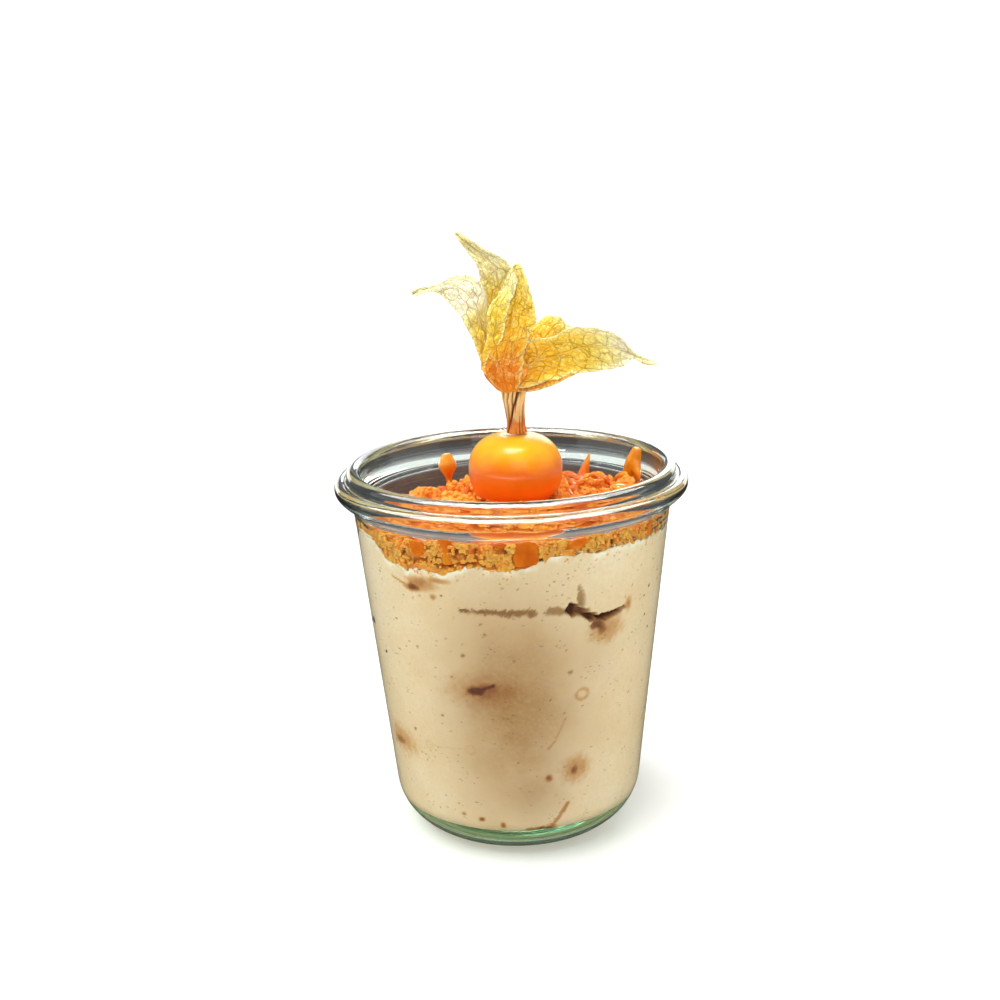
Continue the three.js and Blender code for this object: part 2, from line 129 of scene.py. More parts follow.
def rounded(points, passes=3):
    """An open line with its corners cut again and again, its ends kept."""
    p = np.asarray(points, float)
    for _ in range(passes):
        a, b = p[:-1], p[1:]
        cut = np.stack([0.75 * a + 0.25 * b, 0.25 * a + 0.75 * b], 1).reshape(-1, p.shape[1])
        p = np.vstack([p[0], cut, p[-1]])
    return p


# ---------------------------------------------------------------- meshes
def add_object(name, points, faces, material, smooth=True):
    mesh = bpy.data.meshes.new(name)
    mesh.from_pydata((np.asarray(points) * MM).tolist(), [], [list(map(int, f)) for f in faces])
    mesh.polygons.foreach_set("use_smooth", [smooth] * len(mesh.polygons))
    mesh.materials.append(material)
    obj = bpy.data.objects.new(name, mesh)
    bpy.context.scene.collection.objects.link(obj)
    return obj


def set_value(obj, name, values):
    """One number for each vertex, which the material reads by this name."""
    attribute = obj.data.attributes.new(name, "FLOAT", "POINT")
    attribute.data.foreach_set("value", np.asarray(values, np.float32))


def set_flat_map(obj, uv):
    """A UV map from one (u, v) for each vertex."""
    layer = obj.data.uv_layers.new(name="UVMap")
    corner = np.zeros(len(obj.data.loops), np.int32)
    obj.data.loops.foreach_get("vertex_index", corner)
    layer.data.foreach_set("uv", np.asarray(uv, np.float32)[corner].ravel())


def ring_faces(rows, segments):
    """Quads between rings of points, and a fan that closes each end on a point of its own."""
    i = np.arange(rows - 1)[:, None] * segments
    j = np.arange(segments)[None, :]
    k = (j + 1) % segments
    quads = np.stack([i + j, i + k, i + segments + k, i + segments + j], -1).reshape(-1, 4)
    start, end = rows * segments, rows * segments + 1
    last = (rows - 1) * segments
    fans = [[start, (s + 1) % segments, s] for s in range(segments)]
    fans += [[end, last + s, last + (s + 1) % segments] for s in range(segments)]
    return quads.tolist() + fans


def closed_rings(rings):
    """A closed body from rings of points, in an array (rows, segments, 3)."""
    rows, segments, _ = rings.shape
    points = np.vstack([rings.reshape(-1, 3), rings[0].mean(0), rings[-1].mean(0)])
    return points, ring_faces(rows, segments)


def around(segments):
    return np.arange(segments) * TAU / segments


def revolved(profile, segments):
    a = around(segments)
    r, z = profile[:, 0][:, None], profile[:, 1][:, None]
    return np.stack([r * np.cos(a), r * np.sin(a), z + 0 * a], -1)


def ball(subdivisions):
    """Points and triangles of a round ball of radius 1."""
    bm = bmesh.new()
    bmesh.ops.create_icosphere(bm, subdivisions=subdivisions, radius=1)
    points = np.array([v.co[:] for v in bm.verts])
    faces = np.array([[v.index for v in f.verts] for f in bm.faces])
    bm.free()
    return points, faces


BALLS = {n: ball(n) for n in (2, 3, 4, 5)}


def gathered(bodies):
    """Many (points, faces) bodies as one."""
    points, faces, count = [], [], 0
    for p, f in bodies:
        points.append(p)
        faces.append(np.asarray(f) + count)
        count += len(p)
    return np.vstack(points), np.vstack(faces)


# ---------------------------------------------------------------- materials
class Shader:
    """A node material with a Principled shader, and short ways to add nodes to it."""

    def __init__(self, name, **sockets):
        self.material = bpy.data.materials.new(name)
        self.material.use_nodes = True
        self.tree = self.material.node_tree
        self.main = self.tree.nodes["Principled BSDF"]
        self.set(**sockets)

    def set(self, **sockets):
        for name, value in sockets.items():
            self.plug(self.main.inputs[name.replace("_", " ")], value)

    def plug(self, socket, value):
        if isinstance(value, bpy.types.NodeSocket):
            self.tree.links.new(value, socket)
        else:
            socket.default_value = value

    def node(self, kind, inputs=(), **settings):
        n = self.tree.nodes.new("ShaderNode" + kind)
        for key, value in settings.items():
            setattr(n, key, value)
        for key, value in dict(inputs).items():
            self.plug(n.inputs[key], value)
        return n

    def place(self):
        return self.node("TexCoord").outputs["Object"]

    def height(self):
        """How high a place is, in metres."""
        return self.node("SeparateXYZ", {0: self.place()}).outputs["Z"]

    def value(self, name):
        return self.node("Attribute", attribute_name=name).outputs["Fac"]

    def noise(self, scale, detail=4.0, roughness=0.55, distortion=0.0):
        n = self.node("TexNoise", {
            "Vector": self.place(), "Scale": scale, "Detail": detail,
            "Roughness": roughness, "Distortion": distortion})
        return n.outputs["Fac"]

    def cells(self, scale, feature="F1", place=None):
        return self.node("TexVoronoi", {"Vector": place or self.place(), "Scale": scale},
                         feature=feature)

    def math(self, operation, a, b=0.0, clamp=False):
        n = self.node("Math", operation=operation, use_clamp=clamp)
        self.plug(n.inputs[0], a)
        self.plug(n.inputs[1], b)
        return n.outputs[0]

    def swing(self, scale, detail, reach):
        """Noise round zero, with reach between its least and its most."""
        return self.math("MULTIPLY", self.math("SUBTRACT", self.noise(scale, detail), 0.5), reach)

    def span(self, value, low, high, to_low=0.0, to_high=1.0):
        """A value's place between low and high, as a number from to_low to to_high."""
        n = self.node("MapRange", {"Value": value, "From Min": low, "From Max": high,
                                   "To Min": to_low, "To Max": to_high})
        return n.outputs["Result"]

    def mix(self, factor, a, b, blend="MIX"):
        n = self.node("Mix", data_type="RGBA", blend_type=blend)
        self.plug(n.inputs["Factor"], factor)
        self.plug(n.inputs["A"], a)
        self.plug(n.inputs["B"], b)
        return n.outputs["Result"]

    def ramp(self, value, stops):
        """A colour that goes through (position, colour) stops."""
        n = self.node("ValToRGB", {"Fac": value})
        elements = n.color_ramp.elements
        while len(elements) < len(stops):
            elements.new(0.5)
        for element, (position, colour) in zip(elements, stops):
            element.position = position
            element.color = colour
        return n.outputs["Color"]

    def bump(self, height, distance, strength=1.0):
        n = self.node("Bump", {"Height": height, "Distance": distance, "Strength": strength})
        return n.outputs["Normal"]


def glass_material():
    """Clear glass with a faint green body. Lamp light and soft light pass it straight."""
    s = Shader("jar_glass")
    s.tree.nodes.remove(s.main)
    out = s.tree.nodes["Material Output"]
    ripple = s.noise(60.0, 1.0)
    glass = s.node("BsdfGlass", {"Color": (0.985, 1.0, 0.992, 1), "Roughness": 0.0, "IOR": 1.5,
                                 "Normal": s.bump(ripple, 0.00001)})
    clear = s.node("BsdfTransparent", {"Color": (0.96, 0.98, 0.97, 1)})
    path = s.node("LightPath")
    soft = s.math("MAXIMUM", path.outputs["Is Shadow Ray"], path.outputs["Is Diffuse Ray"])
    both = s.node("MixShader", {0: soft, 1: glass.outputs[0], 2: clear.outputs[0]})
    body = s.node("VolumeAbsorption", {"Color": srgb(152, 204, 176), "Density": 28.0})
    s.tree.links.new(both.outputs[0], out.inputs["Surface"])
    s.tree.links.new(body.outputs[0], out.inputs["Volume"])
    return s.material


def soaked_colour(s, base):
    """The colour of base where coffee has soaked it, by the value named soak."""
    soak = s.value("soak")
    grain = s.swing(900.0, 3.0, soak)
    worn = s.math("ADD", soak, s.math("MULTIPLY", grain, 0.6), clamp=True)
    brown = s.ramp(worn, [
        (0.0, (1, 1, 1, 1)), (0.22, srgb(234, 208, 174)), (0.5, srgb(202, 154, 100)),
        (0.78, srgb(150, 96, 46)), (1.0, srgb(108, 58, 20))])
    return s.mix(1.0, base, brown, "MULTIPLY")


def cream_material():
    s = Shader("cream", Roughness=0.5, Subsurface_Weight=0.25, Subsurface_Scale=0.002,
               Subsurface_Radius=(1.0, 0.7, 0.4))
    broad = s.noise(55.0, 4.0, 0.6)
    base = s.ramp(broad, [(0.3, srgb(236, 203, 160)), (0.55, srgb(243, 215, 178)),
                          (0.75, srgb(247, 224, 195))])
    # Biscuit brown seen through the cream, and at the front middle painted shade.
    tan = s.math("MULTIPLY", s.value("tan"), s.span(s.noise(120.0, 3.0), 0.25, 0.75, 0.9, 1.06))
    base = s.mix(tan, base, srgb(168, 119, 64))
    fine = s.noise(1400.0, 3.0)
    base = s.mix(s.span(fine, 0.35, 0.7, 0.0, 0.22), base, srgb(210, 178, 122))
    for scale, reach, share, often in ((520.0, 0.15, 0.5, 0.58), (900.0, 0.24, 0.4, 0.6)):
        squat = s.node("Mapping", {"Vector": s.place(), "Scale": (1, 1, 1.7)}).outputs[0]
        fleck = s.cells(scale, place=squat)
        worn = s.span(s.noise(2600.0, 2.0), 0.3, 0.7, -0.08, 0.08)
        edge = s.math("ADD", fleck.outputs["Distance"], worn)
        small = s.math("LESS_THAN", edge, reach)
        rare = s.math("GREATER_THAN", s.noise(160.0 + 0.1 * scale, 2.0), often)
        seen = s.math("MULTIPLY", small, s.math("MULTIPLY", rare, share))
        base = s.mix(seen, base, srgb(128, 92, 50))
    # Painted highlight: a pale band along the cream just below its top edge.
    base = s.mix(s.value("pale"), base, srgb(255, 244, 220))
    base = soaked_colour(s, base)
    # Browner and darker in the hollows: partly what shows in them, partly painted shade.
    hollow_brown_and_shade = s.ramp(s.value("hollow_brown_and_shade"), [
        (0.0, (1, 1, 1, 1)), (0.22, srgb(216, 192, 162)), (0.5, srgb(184, 138, 96)),
        (0.75, srgb(132, 80, 42)), (1.0, srgb(80, 40, 14))])
    base = s.mix(1.0, base, hollow_brown_and_shade, "MULTIPLY")
    s.set(Base_Color=base, Normal=s.bump(s.noise(600.0, 6.0, 0.6), 0.0004, 0.6))
    return s.material


def biscuit_material():
    s = Shader("soaked_biscuit", Roughness=0.6, Subsurface_Weight=0.1, Subsurface_Scale=0.001)
    grain = s.noise(1500.0, 5.0, 0.7)
    base = s.ramp(grain, [(0.3, srgb(190, 148, 96)), (0.7, srgb(226, 188, 134))])
    s.set(Base_Color=soaked_colour(s, base), Normal=s.bump(grain, 0.0003, 0.7))
    return s.material


def crumble_material():
    """Baked biscuit: sandy grain and darker baked patches, with painted shade: deeper orange in the
    valleys between grains and dark red-brown in the crevices.
    """
    s = Shader("crumble", Roughness=0.7, Subsurface_Weight=0.3, Subsurface_Scale=0.0012,
               Subsurface_Radius=(1.0, 0.45, 0.15))
    patches = s.noise(260.0, 4.0, 0.6)
    grain = s.cells(1500.0)
    sand = s.noise(2600.0, 4.0, 0.7)
    base = s.ramp(patches, [(0.28, srgb(255, 150, 42)), (0.45, srgb(255, 174, 58)),
                            (0.62, srgb(255, 192, 78)), (0.8, srgb(255, 216, 128))])
    base = s.mix(s.span(sand, 0.42, 0.75, 0.0, 0.25), base, srgb(250, 140, 34))
    # Painted shade: deeper orange towards the edges of the grains, low in their valleys.
    base = s.mix(s.span(grain.outputs["Distance"], 0.35, 0.8, 0.0, 0.6), base, srgb(246, 120, 20))
    base = s.mix(s.span(s.value("tint"), 0.0, 1.0, 0.0, 0.5), base, srgb(250, 140, 38))
    # Painted shade: dark red-brown in the crevices.
    base = s.mix(s.span(s.value("cleft_shade"), 0.0, 1.0, 0.0, 0.8), base, srgb(186, 68, 8))
    relief = s.math("SUBTRACT", s.math("MULTIPLY", sand, 0.6), grain.outputs["Distance"])
    s.set(Base_Color=base, Normal=s.bump(relief, 0.0004, 0.8))
    return s.material


def caramel_material():
    s = Shader("caramel", Roughness=0.09, IOR=1.42, Transmission_Weight=0.2,
               Subsurface_Weight=0.3, Subsurface_Scale=0.0012,
               Subsurface_Radius=(1.0, 0.45, 0.12), Coat_Weight=0.2, Coat_Roughness=0.02)
    swirl = s.noise(220.0, 3.0, 0.5, distortion=0.6)
    thick = s.ramp(swirl, [(0.25, srgb(206, 86, 8)), (0.5, srgb(236, 120, 16)),
                           (0.78, srgb(250, 166, 48))])
    thin = s.ramp(swirl, [(0.25, srgb(218, 124, 14)), (0.5, srgb(238, 158, 28)),
                          (0.78, srgb(246, 204, 98))])
    base = s.mix(s.span(s.height(), 0.0672, 0.0695), thick, thin)
    s.set(Base_Color=base, Normal=s.bump(s.noise(500.0, 2.0), 0.0001, 0.4))
    return s.material


def berry_material():
    s = Shader("berry", Roughness=0.34, Subsurface_Weight=0.4, Subsurface_Scale=0.003,
               Subsurface_Radius=(1.0, 0.4, 0.1), Specular_IOR_Level=0.25,
               Coat_Weight=0.25, Coat_Roughness=0.04)
    low, high = (BERRY["z"] - BERRY["half_height"]) * MM, (BERRY["z"] + BERRY["half_height"]) * MM
    level = s.span(s.math("ADD", s.height(), s.swing(160.0, 3.0, 0.0035)), low, high)
    # Deep orange at the bottom to yellow at the top; the lighter top is partly painted light from
    # above.
    skin = s.ramp(level, [(0.0, srgb(250, 104, 12)), (0.3, srgb(248, 114, 6)),
                          (0.55, srgb(226, 110, 2)), (0.8, srgb(246, 168, 4)),
                          (1.0, srgb(252, 200, 40))])
    pores = s.cells(1300.0)
    skin = s.mix(s.span(pores.outputs["Distance"], 0.0, 0.25, 0.1, 0.0), skin, srgb(255, 200, 40))
    s.set(Base_Color=skin, Normal=s.bump(s.noise(420.0, 3.0), 0.00008, 0.5))
    return s.material


def husk_material():
    """Dry papery leaf: orange at its base, gold, then pale at the tips, with a net of veins."""
    s = Shader("husk", Roughness=0.42, Subsurface_Weight=0.3, Subsurface_Scale=0.0005,
               Subsurface_Radius=(1.0, 0.75, 0.3))
    flat = s.node("UVMap", uv_map="UVMap").outputs["UV"]
    bend = s.node("TexNoise", {"Vector": flat, "Scale": 9.0, "Detail": 2.0})
    shift = s.node("VectorMath", {0: bend.outputs["Color"], "Scale": 0.05}, operation="SCALE")
    bent = s.node("VectorMath", {0: flat, 1: shift.outputs[0]}, operation="ADD").outputs[0]
    net = s.cells(15.0, "DISTANCE_TO_EDGE", bent)
    small_net = s.cells(42.0, "DISTANCE_TO_EDGE", bent)
    vein = s.span(net.outputs["Distance"], 0.0, 0.035, 0.8, 0.0)
    thread = s.span(small_net.outputs["Distance"], 0.0, 0.06, 0.4, 0.0)
    vein = s.math("MAXIMUM", s.math("MAXIMUM", vein, thread), s.value("rib"))
    tone = s.math("ADD", s.value("tone"), s.swing(140.0, 4.0, 0.5), clamp=True)
    leaf = s.ramp(tone, [(0.0, srgb(248, 146, 24)), (0.14, srgb(254, 181, 26)),
                         (0.4, srgb(254, 203, 42)), (0.66, srgb(255, 222, 80)),
                         (0.85, srgb(255, 240, 150)), (1.0, srgb(255, 251, 218))])
    leaf = s.mix(s.value("margin"), leaf, srgb(255, 244, 176))
    dark = s.mix(0.9, leaf, srgb(226, 158, 36), "MULTIPLY")
    leaf = s.mix(s.math("MULTIPLY", vein, 0.62), leaf, dark)
    crinkle = s.noise(900.0, 4.0, 0.6)
    fold = s.math("ABSOLUTE", s.math("SUBTRACT", s.noise(300.0, 2.0, 0.5), 0.5))
    relief = s.math("ADD", s.math("MULTIPLY", fold, -3.0), s.math("MULTIPLY", crinkle, 0.6))
    relief = s.math("ADD", relief, vein)
    # Painted highlight: lighter along the crests of the folds.
    leaf = s.mix(s.span(fold, 0.0, 0.03, 0.4, 0.0), leaf, srgb(255, 236, 150))
    s.set(Base_Color=leaf, Normal=s.bump(relief, 0.0004, 1.0))
    return s.material


def neck_material():
    s = Shader("husk_neck", Roughness=0.55, Subsurface_Weight=0.2, Subsurface_Scale=0.0008)
    ragged = s.math("ADD", s.height(), s.swing(900.0, 3.0, 0.004))
    level = s.span(ragged, NECK["foot"] * MM, NECK["top"] * MM)
    # Ribs take their colour by height, and their pale beige is partly painted highlight; the dark
    # brown of the grooves is painted shade.
    ridge = s.ramp(level, [(0.0, srgb(236, 146, 42)), (0.24, srgb(216, 118, 36)),
                           (0.36, srgb(222, 176, 108)), (0.7, srgb(240, 204, 140)),
                           (1.0, srgb(246, 204, 104))])
    groove_shade = s.ramp(level, [(0.0, srgb(156, 66, 14)), (0.3, srgb(122, 58, 20)),
                            (1.0, srgb(112, 70, 30))])
    skin = s.mix(s.span(s.value("groove_shade"), 0.15, 0.95), ridge, groove_shade)
    fibre = s.noise(1800.0, 4.0)
    s.set(Base_Color=skin, Normal=s.bump(fibre, 0.0002, 0.6))
    return s.material


def floor_material():
    s = Shader("floor", Roughness=0.7)
    tone = s.ramp(s.noise(3.0, 2.0), [(0.0, srgb(248, 248, 249)), (1.0, srgb(251, 251, 252))])
    s.set(Base_Color=tone)
    return s.material


# ---------------------------------------------------------------- camera and light
def place_camera():
    """The photograph's view, from the measured rim: its distance, height angle, lens and roll."""
    distance, elevation, roll = 271.7, math.radians(13.543), math.radians(-1.609)
    picture, focal = 1000, 1369.1
    rim, rim_pixel = np.array([0, 0, 74.94]), np.array([510.84, 460.73])
    place = rim + distance * np.array([0, -math.cos(elevation), math.sin(elevation)])
    towards = (rim - place) / distance
    right_by, down_by = rim_pixel - picture / 2
    c, s = math.cos(roll), math.sin(roll)
    right_by, down_by = c * right_by + s * down_by, c * down_by - s * right_by
    yaw = math.atan2(right_by, math.hypot(focal, down_by))
    pitch = math.asin(towards[2]) + math.atan2(down_by, focal)
    ahead = np.array([-math.sin(yaw) * math.cos(pitch), math.cos(yaw) * math.cos(pitch),
                      math.sin(pitch)])
    right = np.cross(ahead, [0, 0, 1])
    right /= np.linalg.norm(right)
    up = np.cross(right, ahead)
    right, up = c * right + s * up, c * up - s * right
    data = bpy.data.cameras.new("camera")
    data.sensor_width = 36
    data.lens = focal * data.sensor_width / picture
    data.clip_start, data.clip_end = 0.01, 100
    camera = bpy.data.objects.new("camera", data)
    bpy.context.scene.collection.objects.link(camera)
    turn = Matrix([(*axes, at) for axes, at in zip(zip(right, up, -ahead), place * MM)])
    camera.matrix_world = Matrix([*[list(row) for row in turn], [0, 0, 0, 1]])
    bpy.context.scene.camera = camera


def add_lamp(name, kind, place, energy, size=None, colour=(1, 1, 1), aim=(0, 0, 0.04)):
    data = bpy.data.lights.new(name, kind)
    data.energy = energy
    data.color = colour
    if kind == "SUN":
        data.angle = math.radians(size)
    else:
        data.shape = "RECTANGLE"
        data.size, data.size_y = size
    lamp = bpy.data.objects.new(name, data)
    bpy.context.scene.collection.objects.link(lamp)
    lamp.location = place
    lamp.rotation_euler = (Vector(aim) - Vector(place)).to_track_quat("-Z", "Y").to_euler()
    return lamp


def light_the_set():
    add_lamp("top_sun", "SUN", (-0.14, -0.1, 1.0), 2.1, 26)
    add_lamp("back_sun", "SUN", (0.2, 0.9, 0.42), 1.0, 32)
    add_lamp("left_softbox", "AREA", (-0.9, -0.1, 0.5), 3.4, (1.0, 1.2), (1.0, 0.99, 0.96))
    add_lamp("right_softbox", "AREA", (0.9, -0.05, 0.5), 2.5, (1.0, 1.2), (1.0, 0.98, 0.95))
    add_lamp("front_softbox", "AREA", (0.15, -1.0, 0.7), 4.4, (1.0, 0.8))
    add_lamp("top_strip_1", "AREA", (-0.05, -0.02, 0.5), 0.3, (0.04, 0.1), aim=(0, 0, 0.08))
    add_lamp("top_strip_2", "AREA", (0.05, -0.02, 0.5), 0.25, (0.04, 0.1), aim=(0, 0, 0.08))
    # A white room for what is seen and bent by glass, and a dimmer one for soft light and mirrors.
    world = bpy.data.worlds.new("studio")
    bpy.context.scene.world = world
    world.use_nodes = True
    tree = world.node_tree
    path = tree.nodes.new("ShaderNodeLightPath").outputs

    def joined(operation, *values):
        n = tree.nodes.new("ShaderNodeMath")
        n.operation = operation
        for socket, value in zip(n.inputs, values):
            tree.links.new(value, socket)
        return n.outputs[0]

    mirrored = joined("SUBTRACT", path["Is Glossy Ray"], path["Is Transmission Ray"])
    dim = tree.nodes.new("ShaderNodeMapRange")
    dim.inputs["To Min"].default_value = 1.1
    dim.inputs["To Max"].default_value = 0.33
    tree.links.new(joined("MAXIMUM", path["Is Diffuse Ray"], mirrored), dim.inputs["Value"])
    background = tree.nodes["Background"]
    background.inputs["Color"].default_value = (1, 1, 1, 1)
    tree.links.new(dim.outputs["Result"], background.inputs["Strength"])
    bpy.context.scene.view_settings.view_transform = "Standard"


def disc(name, radius, z, material, segments=96):
    """A flat disc on the stage, in millimetres."""
    a = around(segments)
    points = np.column_stack([radius * np.cos(a), radius * np.sin(a), np.full(segments, z)])
    obj = add_object(name, points, [list(range(segments))], material, smooth=False)
    return obj


def build_set():
    floor = disc("floor", 6000, 0, floor_material())
    dark = Shader("dark_table", Roughness=0.8)
    dark.set(Base_Color=dark.ramp(dark.noise(20.0), [
        (0.0, (0.072, 0.072, 0.077, 1)), (1.0, (0.088, 0.088, 0.094, 1))]))
    table = disc("dark_table", TABLE["radius"], -0.02, dark.material)
    steps = 96
    a = around(steps)
    edge = np.column_stack([np.cos(a), np.sin(a), 0 * a]) * TABLE["radius"]
    points = np.vstack([edge, edge + [0, 0, TABLE["wall"]]])
    sides = [[i, i + steps, (i + 1) % steps + steps, (i + 1) % steps] for i in range(steps)]
    around_it = Shader("dark_surround", Roughness=0.9)
    level = around_it.span(around_it.height(), 0.0, TABLE["wall"] * MM)
    around_it.set(Base_Color=around_it.ramp(level, [
        (0.0, (0.06, 0.06, 0.064, 1)), (0.3, (0.085, 0.085, 0.09, 1)), (0.7, (0.26, 0.26, 0.27, 1)),
        (1.0, (0.7, 0.7, 0.7, 1))]))
    wall = add_object("dark_surround", points, sides, around_it.material)
    # Rays that have passed through glass meet a dark table and surround, and no white floor.
    floor.visible_transmission = floor.visible_glossy = False
    wall.visible_glossy = False
    for unseen in (table, wall):
        unseen.visible_camera = unseen.visible_diffuse = unseen.visible_shadow = False


def light_the_rim(jar):
    """Five cards overhead in front and two low behind, which only the glass mirrors.

    They make its silver rim and edges."""
    only = bpy.data.collections.new("rim_light_receivers")
    only.objects.link(jar)
    cards = []
    for bearing in (-178, -134, -90, -46, -2):
        a = math.radians(bearing)
        place = (0.55 * math.cos(a), 0.55 * math.sin(a), 0.85)
        cards.append(add_lamp(f"rim_card_{-bearing}", "AREA", place, 24.0, (0.9, 0.8),
                              aim=(0, 0, 0.075)))
    for side, name in ((-1, "left"), (1, "right")):
        place = (0.33 * side, 0.8, 0.05)
        cards.append(add_lamp(f"edge_card_{name}", "AREA", place, 1.4, (0.5, 0.4),
                              aim=(0, 0, 0.06)))
    for card in cards:
        card.visible_diffuse = card.visible_transmission = False
        card.light_linking.receiver_collection = only


# ---------------------------------------------------------------- jar
def inner_radius(z):
    """Radius of the jar's inner wall at a height."""
    low_r, low_z = WALL_LOW
    high_r, high_z = WALL_HIGH
    slope = (high_r - low_r) / (high_z - low_z)
    wall = high_r - slope * (high_z - z)
    down = np.clip(low_z - z, 0, INNER_BEND)
    bend = low_r - INNER_BEND + np.sqrt(np.maximum(INNER_BEND ** 2 - down ** 2, 0))
    mouth = np.interp(z, [high_z, 68.4, 70.4, 72.2], [high_r, 28.95, 29.25, 29.6])
    return np.where(z < low_z, bend, np.where(z > high_z, mouth, wall))


def wall_at(z):
    """The inner wall's radius at one height."""
    return inner_radius(np.array([z]))[0]


def jar_profile():
    bend = FOOT_BEND
    foot = rounded([(0.4, 1.0), (6.0, 0.95), (10.4, 0.75), (12.2, 0.0), (13.4, 0.0),
                    (bend["r"], 0.0)])
    corner = arc(bend["r"], bend["z"], bend["radius"], -90, -TAPER_ANGLE, 28)[1:]
    top_r, top_z = TAPER_TOP
    wall = np.linspace(corner[-1], (top_r, top_z), 14)[1:-2]
    slope = math.tan(math.radians(TAPER_ANGLE))
    low = np.linspace(NECK_LINES[-1] - 0.6, top_z - 1.2, 26)
    ridge = sum(0.05 * np.exp(-((low - z) / 0.16) ** 2) for z in NECK_LINES)
    ridged = np.column_stack([top_r - slope * (top_z - low) + ridge, low])
    wall = np.vstack([wall[wall[:, 1] < low[0]], ridged])
    rim = rounded([
        (top_r - 0.12, top_z - 1.1), (top_r, top_z), (32.0, 68.0), (33.7, 69.1), (34.7, 70.1),
        (RIM_RADIUS, 70.8), (RIM_RADIUS, 71.8), (34.6, 72.5), (33.8, 72.9), (32.9, 72.5),
        (LIP["r"] + LIP["radius"], 73.1), (LIP["r"] + LIP["radius"], LIP["z"])])
    lip = arc(LIP["r"], LIP["z"], LIP["radius"], 8, 172, 14)
    mouth = rounded([
        (LIP["r"] - LIP["radius"], LIP["z"]), (29.75, 72.9), (29.6, 72.2), (29.3, 71.2),
        (29.25, 70.4), (29.05, 69.4), (28.95, 68.5), (28.7, 68.1), (28.88, 67.6), WALL_HIGH])
    low_r, low_z = WALL_LOW
    inside = np.linspace(WALL_HIGH, WALL_LOW, 14)[1:]
    inner_corner = arc(low_r - INNER_BEND, low_z, INNER_BEND, 0, -90, 20)[1:]
    reach = low_r - INNER_BEND
    floor = np.linspace((reach, FLOOR["edge"]), (0.4, FLOOR["middle"]), 5)[1:]
    return np.vstack([foot, corner, wall, rim, lip, mouth, inside, inner_corner, floor])


def build_jar():
    points, faces = closed_rings(revolved(jar_profile(), 200))
    jar = add_object("glass_jar", points, faces, glass_material())
    light_the_rim(jar)
    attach(jar, "root")
    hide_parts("jar")


# ---------------------------------------------------------------- marks on the cream
# Hollows in the cream's face: bearing, height, half width, half height, depth, tilt, darkness.
# The darkness is brown painted into the hollow, partly what shows in it and partly painted shade.
HOLLOWS = [
    (-64.3, 55.2, 0.8, 2.3, 1.0, 8, 0.24),
    (-67.6, 52.9, 1.25, 1.2, 2.2, 0, 0.98),
    (-63.6, 52.1, 1.7, 0.75, 2.3, -14, 0.6),
    (-59.6, 50.8, 1.6, 0.85, 2.6, -20, 0.85),
    (-53.6, 50.2, 2.5, 0.72, 2.6, 4, 1.0),
    (-47.4, 50.5, 1.8, 0.62, 2.2, 8, 0.95),
    (-57.0, 49.0, 1.3, 0.8, 1.2, 10, 0.36),
    (-78.5, 5.9, 1.9, 0.7, 0.4, 14, 0.8),
    (-74.4, 53.0, 2.1, 0.8, 0.6, -6, 0.3),
    (38.0, 44.0, 2.6, 0.9, 1.2, 10, 0.7),
    (118.0, 30.0, 3.4, 0.7, 1.0, -8, 0.6),
    (165.0, 50.0, 2.2, 1.1, 1.5, 20, 0.8),
]
# Long cracks: two ends as bearing and height, half height at each, depth and darkness,
# which is partly brown and partly painted shade.
CRACKS = [
    (-110.4, 53.5, -83.4, 53.1, 0.38, 0.8, 0.4, 0.38),
    (20.0, 48.0, 37.0, 46.5, 0.3, 0.5, 0.6, 0.3),
    (96.0, 55.0, 112.0, 54.2, 0.25, 0.5, 0.6, 0.3),
    (-176.0, 44.0, -166.0, 45.0, 0.3, 0.4, 0.5, 0.28),
]
# Coffee stains: bearing, height, half width, half height, strength.
STAINS = [
    (-106.0, 36.9, 2.3, 1.2, 1.0), (-103.5, 37.0, 4.4, 2.1, 0.5), (-104.5, 36.9, 7.8, 4.0, 0.2),
    (-97.0, 37.0, 4.2, 2.3, 0.26),
    (-155.5, 21.0, 2.6, 1.4, 0.6), (-153.0, 21.6, 5.0, 3.2, 0.3),
    (-130.5, 56.8, 2.3, 0.9, 0.86), (-127.0, 57.8, 3.4, 1.5, 0.5), (-119.0, 58.9, 2.6, 0.55, 0.42),
    (-121.4, 55.5, 0.7, 0.6, 0.42),
    (-54.4, 47.8, 1.4, 1.5, 0.72), (-52.0, 47.6, 4.0, 3.0, 0.32), (-41.0, 51.3, 1.0, 1.6, 0.36),
    (-64.4, 18.7, 1.0, 1.5, 0.7), (-64.0, 19.0, 3.2, 3.2, 0.32), (-76.4, 17.9, 0.7, 0.8, 0.66),
    (-108.0, 8.8, 0.7, 0.5, 0.8), (-98.0, 7.7, 0.5, 0.7, 0.7), (-117.0, 9.4, 0.5, 0.4, 0.6),
    (25.0, 20.0, 3.0, 1.8, 0.8), (26.0, 20.4, 7.0, 4.4, 0.34), (70.0, 50.0, 2.4, 1.6, 0.7),
    (71.0, 49.0, 5.0, 3.6, 0.3), (132.0, 15.0, 3.2, 1.7, 0.75), (132.0, 15.5, 7.0, 4.0, 0.3),
    (158.0, 38.0, 2.2, 2.0, 0.6), (100.0, 36.0, 1.2, 1.0, 0.6),
]
# Rings that burst bubbles left: bearing, height, radius, half width, strength.
RINGS = [
    (-62.2, 35.0, 1.15, 0.5, 0.22), (-132.3, 23.2, 0.8, 0.3, 0.07),
    (-111.2, 24.1, 0.9, 0.3, 0.07), (84.0, 22.0, 1.3, 0.5, 0.3),
]
